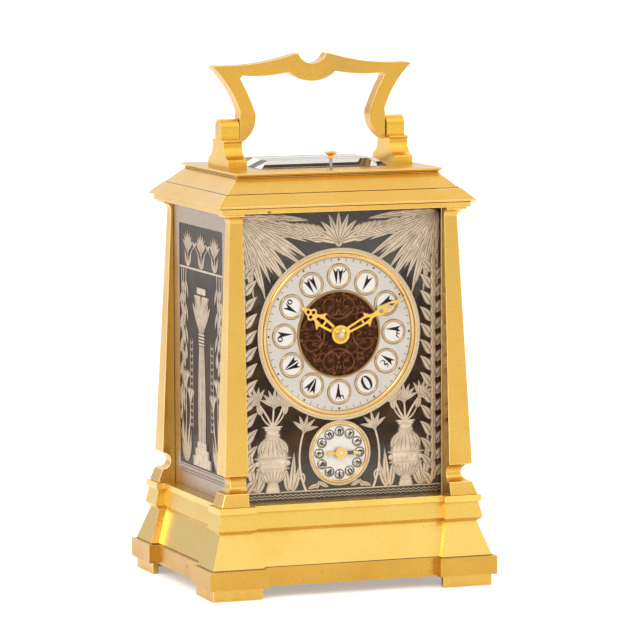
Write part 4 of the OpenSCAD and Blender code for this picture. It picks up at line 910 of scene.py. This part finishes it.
def addColumn(leaves, stems):
    # A ribbed papyrus column with its ties and an open flower on top
    c = columnRelief
    for low, high, width in c["steps"]:
        addStrip(stems, [(0, low), (0, high)], width, 0.22, along=2, edge=0.9)
    swell = lambda u: c["width"] * (1.0 - 0.3 * u + 0.16 * math.sin(math.pi * u))
    for shift in range(-2, 3):
        line = [(shift * swell(k / 8) / 5, c["shaft"] + (c["tie"] - c["shaft"]) * k / 8) for k in range(9)]
        addStrip(stems, line, lambda u: swell(u) / 5 - 0.12, 0.2, along=12)
    for i in range(4):
        z = c["tie"] + 0.7 + 1.25 * i
        addStrip(stems, [(-3.3, z), (3.3, z)], 0.95, 0.2, along=2)
    bell = lambda u: 6.6 + 14.0 * u ** 1.7
    addStrip(leaves, [(0, c["bell"]), (0, c["top"])], bell, 0.16, along=10, across=8)
    for i in range(9):
        lean = (i - 4) / 4
        addLeaf(leaves, (lean * 2.5, c["bell"]), 90 - 29 * lean, 13.6, 2.5, bend=-14 * lean, at=0.6,
                lift=0.06 + 0.004 * (4 - abs(i - 4)))
    capZ = c["top"] + 1.9
    addStrip(stems, [(-5.0, capZ), (5.0, capZ)], 3.0, 0.2, along=2, edge=0.7)


def buildPanelRelief(name, side):
    p, half, bar = sidePanel, sidePanel["fieldHalf"], sidePanel["barZ"]
    place = lambda a, b, h: Vector((side * (p["outer"] - p["sunk"] + h), side * a, b))
    leaves, stems = newRelief(place), newRelief(place)
    addStrip(stems, [(-half, bar), (half, bar)], 1.0, 0.2, along=2, edge=0.8)
    leaves.keep = stems.keep = lambda a, b: abs(a) < half and bar < b < p["fieldHigh"]
    addFlowerRow(leaves, stems)
    leaves.keep = stems.keep = lambda a, b: abs(a) < half and p["groundZ"] - 0.6 < b < bar
    addColumn(leaves, stems)
    for turn in (1, -1):
        leaves.place = stems.place = lambda a, b, h: place(turn * a, b, h)
        addGarlands(leaves, stems)
        addLeafBand(leaves, stems)
        addClump(leaves, stems)
    finishRelief(leaves, name + "_leaves", name, "chasedLeaf")
    finishRelief(stems, name + "_stems", name, "chasedPlain")


for panelName, panelSide in (("side_panel_left", -1), ("side_panel_right", 1)):
    buildPanelPlate(panelName, panelSide)
    buildPanelBorder(panelName, panelSide)
    buildPanelRelief(panelName, panelSide)
print("side panels chased")

# Dial: minute marks, hour numerals and the chased centre

dialFace = {
    "centre": Vector((0.0, 96.1)), "front": -30.0,
    "tickIn": 27.4, "tickOut": 28.5, "dotAt": 28.0, "dot": 0.42,
    "plaqueAt": 21.8, "plaqueRadius": 3.93, "plaqueRise": 0.35, "inlay": 0.035,
    "alarm": Vector((0.0, 51.3)), "alarmPlaqueAt": 8.1, "alarmRadius": 1.75, "domeRise": 0.6,
    "capRadius": 0.95, "capLift": 1.68,
    # plaque rings: an inner ring of painted shadow under each rim and a dark outline outside it; the alarm
    # ring is painted shade round each small dome
    "discLine": (16.15, 0.6, 0.1), "plaqueShadowAndOutline": [(3.76, 0.38, 0.16), (4.76, 0.2, 0.08)],
    "alarmShadowRing": (1.82, 0.26, 0.34),  # radius, width and rise of each round line
}


def around(clock, distance):
    return toward(90 - clock) * distance


def onDial(a, b, h):
    return Vector((a, dialFace["front"] - h, b))


def buildMinuteMarks():
    d = dialFace
    marks = newRelief(onDial)
    for minute in range(60):
        turn = 6 * minute
        if minute % 5:
            ends = [d["centre"] + around(turn, r) for r in (d["tickIn"], d["tickOut"])]
            addStrip(marks, ends, 0.24, 0.03, along=1, across=1)
        else:
            addBead(marks, d["centre"] + around(turn, d["dotAt"]), d["dot"], 0.06)
    finishRelief(marks, "minuteMarks", "chapter_ring", "greyInlay")


def addWedge(relief, tail, point, width, rise):
    # A tapering stroke with a notch like a fishtail at its thick end
    path = [tail.lerp(point, k / 4) for k in range(5)]
    before = len(relief.shape.verts)
    addStrip(relief, path, lambda u: width * (1 - u) + 0.1, rise, along=4, edge=0.75)
    relief.shape.verts.ensure_lookup_table()
    middle = relief.place(*path[0], 0) * mm
    inner = path[0] + (path[-1] - path[0]).normalized() * width * 0.62
    for vert in relief.shape.verts[before:]:
        if (vert.co - middle).length < 0.00012:
            vert.co += relief.place(*inner, 0) * mm - middle


numerals = {  # strokes of each hour: wedges (tail, point, width), bars (points, first and last width)
    1: ([((0, 3.0), (0, -3.1), 2.5)], []),
    2: ([((-0.7, 3.0), (-0.7, -3.1), 2.3)], [([(0.1, 1.7), (0.9, 1.1), (1.7, 1.7), (1.9, 2.8)], 0.9, 0.3)]),
    3: ([((-1.1, 3.0), (-1.1, -3.1), 2.1)],
        [([(-0.3, 1.8), (0.2, 1.1), (0.8, 1.5), (0.9, 2.4)], 0.75, 0.35),
         ([(0.8, 1.8), (1.3, 1.0), (2.0, 1.5), (2.3, 2.4)], 0.75, 0.3)]),
    4: ([((-0.7, 3.0), (-0.9, -3.1), 2.3)],
        [([(2.0, 1.6), (0.9, 1.3), (0.9, 0.5), (1.8, 0.2)], 0.4, 0.7),
         ([(1.6, 0.0), (0.5, -0.6), (0.6, -1.6), (1.8, -2.0)], 0.65, 0.25)]),
    5: ([], []),
    6: ([((0.4, -3.1), (0.4, 3.0), 0.5), ((0.5, 3.0), (0.5, -3.1), 2.3)],
        [([(-0.2, 1.8), (-0.9, 1.3), (-1.6, 1.8), (-1.8, 2.8)], 0.75, 0.3)]),
    7: ([((-1.4, 2.9), (-0.15, -3.1), 2.1), ((1.4, 2.9), (0.15, -3.1), 2.1)], []),
    8: ([((-1.4, -2.9), (-0.15, 3.1), 2.1), ((1.4, -2.9), (0.15, 3.1), 2.1)], []),
    9: ([((0.7, 3.0), (0.7, -3.1), 2.3)], []),
    10: ([((-0.9, 2.9), (-0.9, -3.0), 2.4)], []),
    11: ([((-1.15, 2.9), (-0.85, -3.1), 2.0), ((1.15, 2.9), (0.85, -3.1), 2.0)], []),
    12: ([((-1.4, 2.9), (-1.1, -3.0), 1.9), ((0.6, 2.9), (0.4, -3.1), 1.9)],
         [([(1.2, 1.8), (1.7, 1.4), (2.4, 1.8), (2.7, 2.7)], 0.65, 0.3)]),
}
rings = {  # closed loops: middle, half width, half height, thickest and thinnest stroke
    5: ((0, 0), 1.5, 2.7, 1.15, 0.25), 9: ((-1.0, 1.7), 0.85, 0.85, 0.55, 0.3),
    10: ((1.3, 1.6), 0.7, 0.85, 0.6, 0.3),
}


def addNumeral(relief, hour, size):
    wedges, bars = numerals[hour]
    inlay = dialFace["inlay"]
    for tail, point, width in wedges:
        addWedge(relief, Vector(tail) * size, Vector(point) * size, width * size, inlay)
    for points, first, last in bars:
        path = [Vector(p) * size for p in points]
        addStrip(relief, path, (first * size, last * size), inlay, along=6, edge=0.75)
    if hour in rings:
        middle, wide, high, thick, thin = rings[hour]
        turns = [math.radians(15 * k) for k in range(25)]
        path = [(Vector(middle) + Vector((wide * math.cos(t), high * math.sin(t)))) * size for t in turns]
        addStrip(relief, path, lambda u: (thin + (thick - thin) * abs(math.cos(math.tau * u))) * size, inlay,
                 along=24, edge=0.75)


def buildNumerals(name, node, centre, ringRadius, radius, rise, size, roundness):
    relief = newRelief()
    for hour in range(1, 13):
        outward, side = around(30 * hour, 1.0), around(30 * hour + 90, 1.0)
        at = centre + outward * ringRadius

        def place(a, b, h):
            flat = at + side * a + outward * b
            dome = rise * (1 - min((a * a + b * b) / radius ** 2, 1.0)) ** roundness
            return onDial(flat.x, flat.y, 0.1 + dome + h)
        relief.place = place
        addNumeral(relief, hour, size)
    finishRelief(relief, name, node, "blackInlay")


centreScrolls = {
    "front": -29.45, "repeats": 4, "rise": 0.42,
    "curls": [  # start, heading, length, bend, curl and width of each curling line
        ((0.0, 5.6), 4, 13.4, 70, 95, 0.6), ((0.15, 9.4), -80, 10.6, 130, 270, 0.54),
        ((6.3, 10.6), 100, 9.6, 120, 170, 0.54), ((2.3, 12.4), 112, 4.6, -50, -290, 0.44),
        ((7.3, 7.3), 8, 6.2, 60, 210, 0.5), ((0.15, 7.3), -4, 5.6, 60, 60, 0.4),
        ((3.2, 6.1), -30, 3.6, -60, -250, 0.4), ((6.5, 9.8), 20, 3.4, -40, -290, 0.4),
        ((5.9, 12.8), 60, 3.4, -50, -280, 0.38), ((3.0, 9.2), 70, 2.8, 70, 270, 0.36),
    ],
    "beads": [(0.0, 10.8, 0.45), (0.0, 14.4, 0.3), (9.9, 9.9, 0.4), (8.9, 11.5, 0.3), (0.0, 12.6, 0.28)],
    "leaves": [((0.4, 11.6), 66, 2.4, 0.7), ((5.3, 7.4), -20, 2.0, 0.7), ((1.2, 14.3), 30, 2.2, 0.7)],
}


def buildCentreScrolls():
    # Curling lines in mirrored pairs about each quarter's axis
    s, middle = centreScrolls, dialFace["centre"]
    relief = newRelief()
    for i in range(s["repeats"]):
        base = 360 / s["repeats"] * i
        for flip in (1, -1):

            def place(a, b, h):
                flat = middle + around(base + 90, flip * a) + around(base, b)
                return Vector((flat.x, s["front"] - h, flat.y))
            relief.place = place
            for start, heading, length, bend, curl, width in s["curls"]:
                path = curvePath(start, heading, length, bend, curl, steps=40)
                addStrip(relief, path, (width, width * 0.6), s["rise"], along=30, across=4, edge=0.1)
                addBead(relief, path[-1], width * 0.6, s["rise"])
            for a, b, radius in s["beads"]:
                addBead(relief, (a, b), radius, s["rise"])
            for start, heading, length, width in s["leaves"]:
                addLeaf(relief, start, heading, length, width, bend=30, rise=s["rise"])
    finishRelief(relief, "centreScrolls", "centre_disc", "chasedCopper")


def buildDialLines():
    # A gilt line round the centre disc, painted shadow rings inside the plaque rims with dark outlines
    # outside them, painted shade rings round the alarm plaques, and the small domes of the alarm dial
    d = dialFace
    line, shade, domes, cap = newRelief(onDial), newRelief(onDial), newRelief(onDial), newRelief(onDial)
    addCircle(line, d["centre"], *d["discLine"], along=72)
    for turn in range(0, 360, 30):
        for size in d["plaqueShadowAndOutline"]:
            addCircle(shade, d["centre"] + around(turn, d["plaqueAt"]), *size, along=36)
        small = d["alarm"] + around(turn, d["alarmPlaqueAt"])
        addCircle(shade, small, *d["alarmShadowRing"], along=24)
        addBead(domes, small, d["alarmRadius"], d["domeRise"])
    addBead(cap, d["alarm"], d["capRadius"], 0.3, lift=d["capLift"])
    finishRelief(line, "discLine", "chapter_ring", "lineGilt")
    finishRelief(shade, "plaqueShades", "chapter_ring", "greyInlay")
    finishRelief(domes, "alarmDomes", "alarm_dial", "domeSilver")
    finishRelief(cap, "alarmCap", "alarm_hand", "whiteEnamel")


buildMinuteMarks()
buildNumerals("hourNumerals", "hour_plaques", dialFace["centre"], dialFace["plaqueAt"],
              dialFace["plaqueRadius"], dialFace["plaqueRise"], 1.0, 1.0)
buildNumerals("alarmNumerals", "alarm_dial", dialFace["alarm"], dialFace["alarmPlaqueAt"],
              dialFace["alarmRadius"], dialFace["domeRise"] - 0.1, 0.42, 0.5)
buildCentreScrolls()
buildDialLines()
print("dial marked")

# Dark lines in the joints of the case

jointLines = {
    "width": 0.3, "rise": 0.03,
    "outlines": [  # half size, height, lean inwards for each millimetre up, half gap and recess of the middle
        ((46.22, 36.07), 150.02, 1.08, (30, 30), (0, 0)), ((40.1, 30.15), 155.55, 1.08, (30, 20), (0, 0)),
        ((49.46, 39.76), 145.0, 0.0, (30, 30), (0, 0)), ((55.62, 45.52), 11.62, 0.355, (35.1, 27.1), (3, 3)),
        ((51.36, 41.96), 31.86, -0.22, (38.4, 31.0), (3, 3)),
    ],
}


def caseOutline(half, gap, recess):
    # Corners of a case outline in plan, with the middle of each side set back
    (wide, deep), (gapX, gapY), (backX, backY) = half, gap, recess
    quarter = [(gapX, deep - backY), (gapX, deep), (wide, deep), (wide, gapY), (wide - backX, gapY)]
    points = []
    for x, y, order in ((1, -1, 1), (1, 1, -1), (-1, 1, 1), (-1, -1, -1)):
        points += [Vector((x * a, y * b)) for a, b in quarter[::order]]
    return points


def buildJointLines():
    relief = newRelief()
    for half, height, lean, gap, recess in jointLines["outlines"]:
        points = caseOutline(half, gap, recess)
        for first, last in zip(points, points[1:] + points[:1]):
            length = (last - first).length
            if length < 0.1:
                continue
            along = (last - first) / length
            outward = Vector((along.y, -along.x))

            def place(a, b, h):
                flat = first + along * a + outward * (h - lean * b)
                return Vector((flat.x, flat.y, height + b))
            relief.place = place
            ends = [(0, 0), (length, 0)]
            addStrip(relief, ends, jointLines["width"], jointLines["rise"], along=1, across=1, edge=1.0)
    finishRelief(relief, "jointLines", "roof_casting", "jointShade")


buildJointLines()

# Screw slots on the pillar nuts, and the screws and jewels of the platform

movementTrim = {
    "nutAt": [(-30, 46), (30, 46), (-30, 118), (30, 118)], "nutFront": 17.4, "nutSlot": 1.7,
    "screwAt": [(-12.6, -19.4), (18.6, -19.4), (-12.6, 13.4), (18.6, 13.4)], "platformTop": 125.4,
    "screwRadius": 1.5, "screwHigh": 0.7, "screwSlot": 1.2, "slotWidth": 0.4,
    "jewels": [(11.0, -1.8, 129.4, 0.85), (5.6, -1.8, 129.4, 0.7),
               (-3.5, -1.8, 134.5, 0.85)],  # place and radius
    "setting": 1.5,
}


def addDisc(relief, at, radius, high):
    verts = bmesh.ops.create_cone(relief.shape, cap_ends=True, segments=28, radius1=radius,
                                  radius2=radius * 0.86, depth=high)["verts"]
    for vert in verts:
        vert.co = relief.place(at[0] + vert.co.x, at[1] + vert.co.y, high / 2 + vert.co.z) * mm


def addSlot(relief, at, angle, half):
    middle, reach = Vector(at), Vector((math.cos(angle), math.sin(angle))) * half
    addStrip(relief, [middle - reach, middle + reach], movementTrim["slotWidth"], 0.02, along=1, across=1)


def buildMovementTrim():
    t = movementTrim
    top = lambda a, b, h: Vector((a, b, t["platformTop"] + h))
    slots = newRelief(lambda a, b, h: Vector((-a, t["nutFront"] + h, b)))
    screws, settings, jewels = newRelief(top), newRelief(), newRelief()
    for i, (x, z) in enumerate(t["nutAt"]):
        addSlot(slots, (-x, z), i + 0.4, t["nutSlot"])
    slots.place = lambda a, b, h: top(a, b, t["screwHigh"] + h)
    for i, at in enumerate(t["screwAt"]):
        addDisc(screws, at, t["screwRadius"], t["screwHigh"])
        addSlot(slots, at, 2 * i, t["screwSlot"])
    for x, y, z, radius in t["jewels"]:
        settings.place = jewels.place = lambda a, b, h: Vector((a, b, z + h))
        addDisc(settings, (x, y), radius * t["setting"], 0.1)
        addBead(jewels, (x, y), radius, 0.22, lift=0.05)
    finishRelief(slots, "screwSlots", "platform", "blackInlay")
    finishRelief(screws, "platformScrews", "platform", "bluedSteel")
    finishRelief(settings, "jewelSettings", "platform", "brightGilt")
    finishRelief(jewels, "pivotJewels", "platform", "ruby")


# Return spring of the repeat button, a coil of wire wound through the spring's box

returnSpring = {
    "turns": 6, "wire": 0.2, "steps": 22,
    "closed": 0.57,  # share of its length that is left when it is pressed
}


def buildReturnSpring():
    s = returnSpring
    low, high = (Vector(corner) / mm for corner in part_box("repeat_spring"))
    middle = (low + high) / 2
    foot = Vector((middle.x, middle.y, low.z))
    steps = s["turns"] * s["steps"]
    climb = (high.z - low.z - 2 * s["wire"]) / steps
    shape = bmesh.new()
    ring = bmesh.ops.create_circle(shape, segments=8, radius=s["wire"])["verts"]
    bmesh.ops.rotate(shape, verts=ring, matrix=Matrix.Rotation(math.radians(90), 3, "X"))
    bmesh.ops.translate(shape, verts=ring, vec=(high.x - s["wire"], middle.y, low.z + s["wire"]))
    bmesh.ops.spin(shape, geom=shape.verts[:] + shape.edges[:], cent=foot, axis=(0, 0, 1), dvec=(0, 0, climb),
                   angle=math.tau * s["turns"], steps=steps)
    bmesh.ops.holes_fill(shape, edges=[e for e in shape.edges if e.is_boundary], sides=8)
    bmesh.ops.scale(shape, vec=(mm, mm, mm), verts=shape.verts)
    spring = SimpleNamespace(shape=shape)
    piece = finishRelief(spring, "returnSpring", "repeat_spring", "polishedSteel")
    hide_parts("repeat_spring")
    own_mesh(piece)


buildMovementTrim()
buildReturnSpring()
print("joints and trim added")

# Finishes of the parts that keep their own mesh

partFinishes = {
    "plateBrass": "bottom_cover dial_plate front_movement_plate back_movement_plate platform balance_cock",
    "wheelBrass": "button_bush hour_wheel minute_wheel movement_pillars going_barrel strike_barrel "
                  "intermediate_wheel centre_wheel third_wheel contrate_wheel pin_wheel escape_wheel "
                  "balance_wheel",
    "polishedSteel": "repeat_lever hand_arbor going_winding_arbor strike_winding_arbor winding_clicks fly "
                     "hammer pallet_lever",
    "bluedSteel": "gong", "nielloGround": "dial_mask", "chapterSilver": "chapter_ring",
    "whiteEnamel": "hour_plaques", "alarmWhite": "alarm_dial", "darkCopper": "centre_disc",
    "frontGlass": "front_glass", "topGlass": "top_glass", "doorGlass": "door_glass",
    "giltBrass": "handle_pivot_screws", "brightGilt": "door_knob", "rimGilt": "hour_rims",
    "bezelGilt": "dial_bezels", "nutGilt": "hand_nut", "buttonGilt": "repeat_button",
    "alarmGilt": "alarm_hand",
}
for surface, names in partFinishes.items():
    for name in names.split():
        slots = cadNodes[name].data.materials
        slots.clear()
        slots.append(surfaces[surface])
print("finishes assigned")
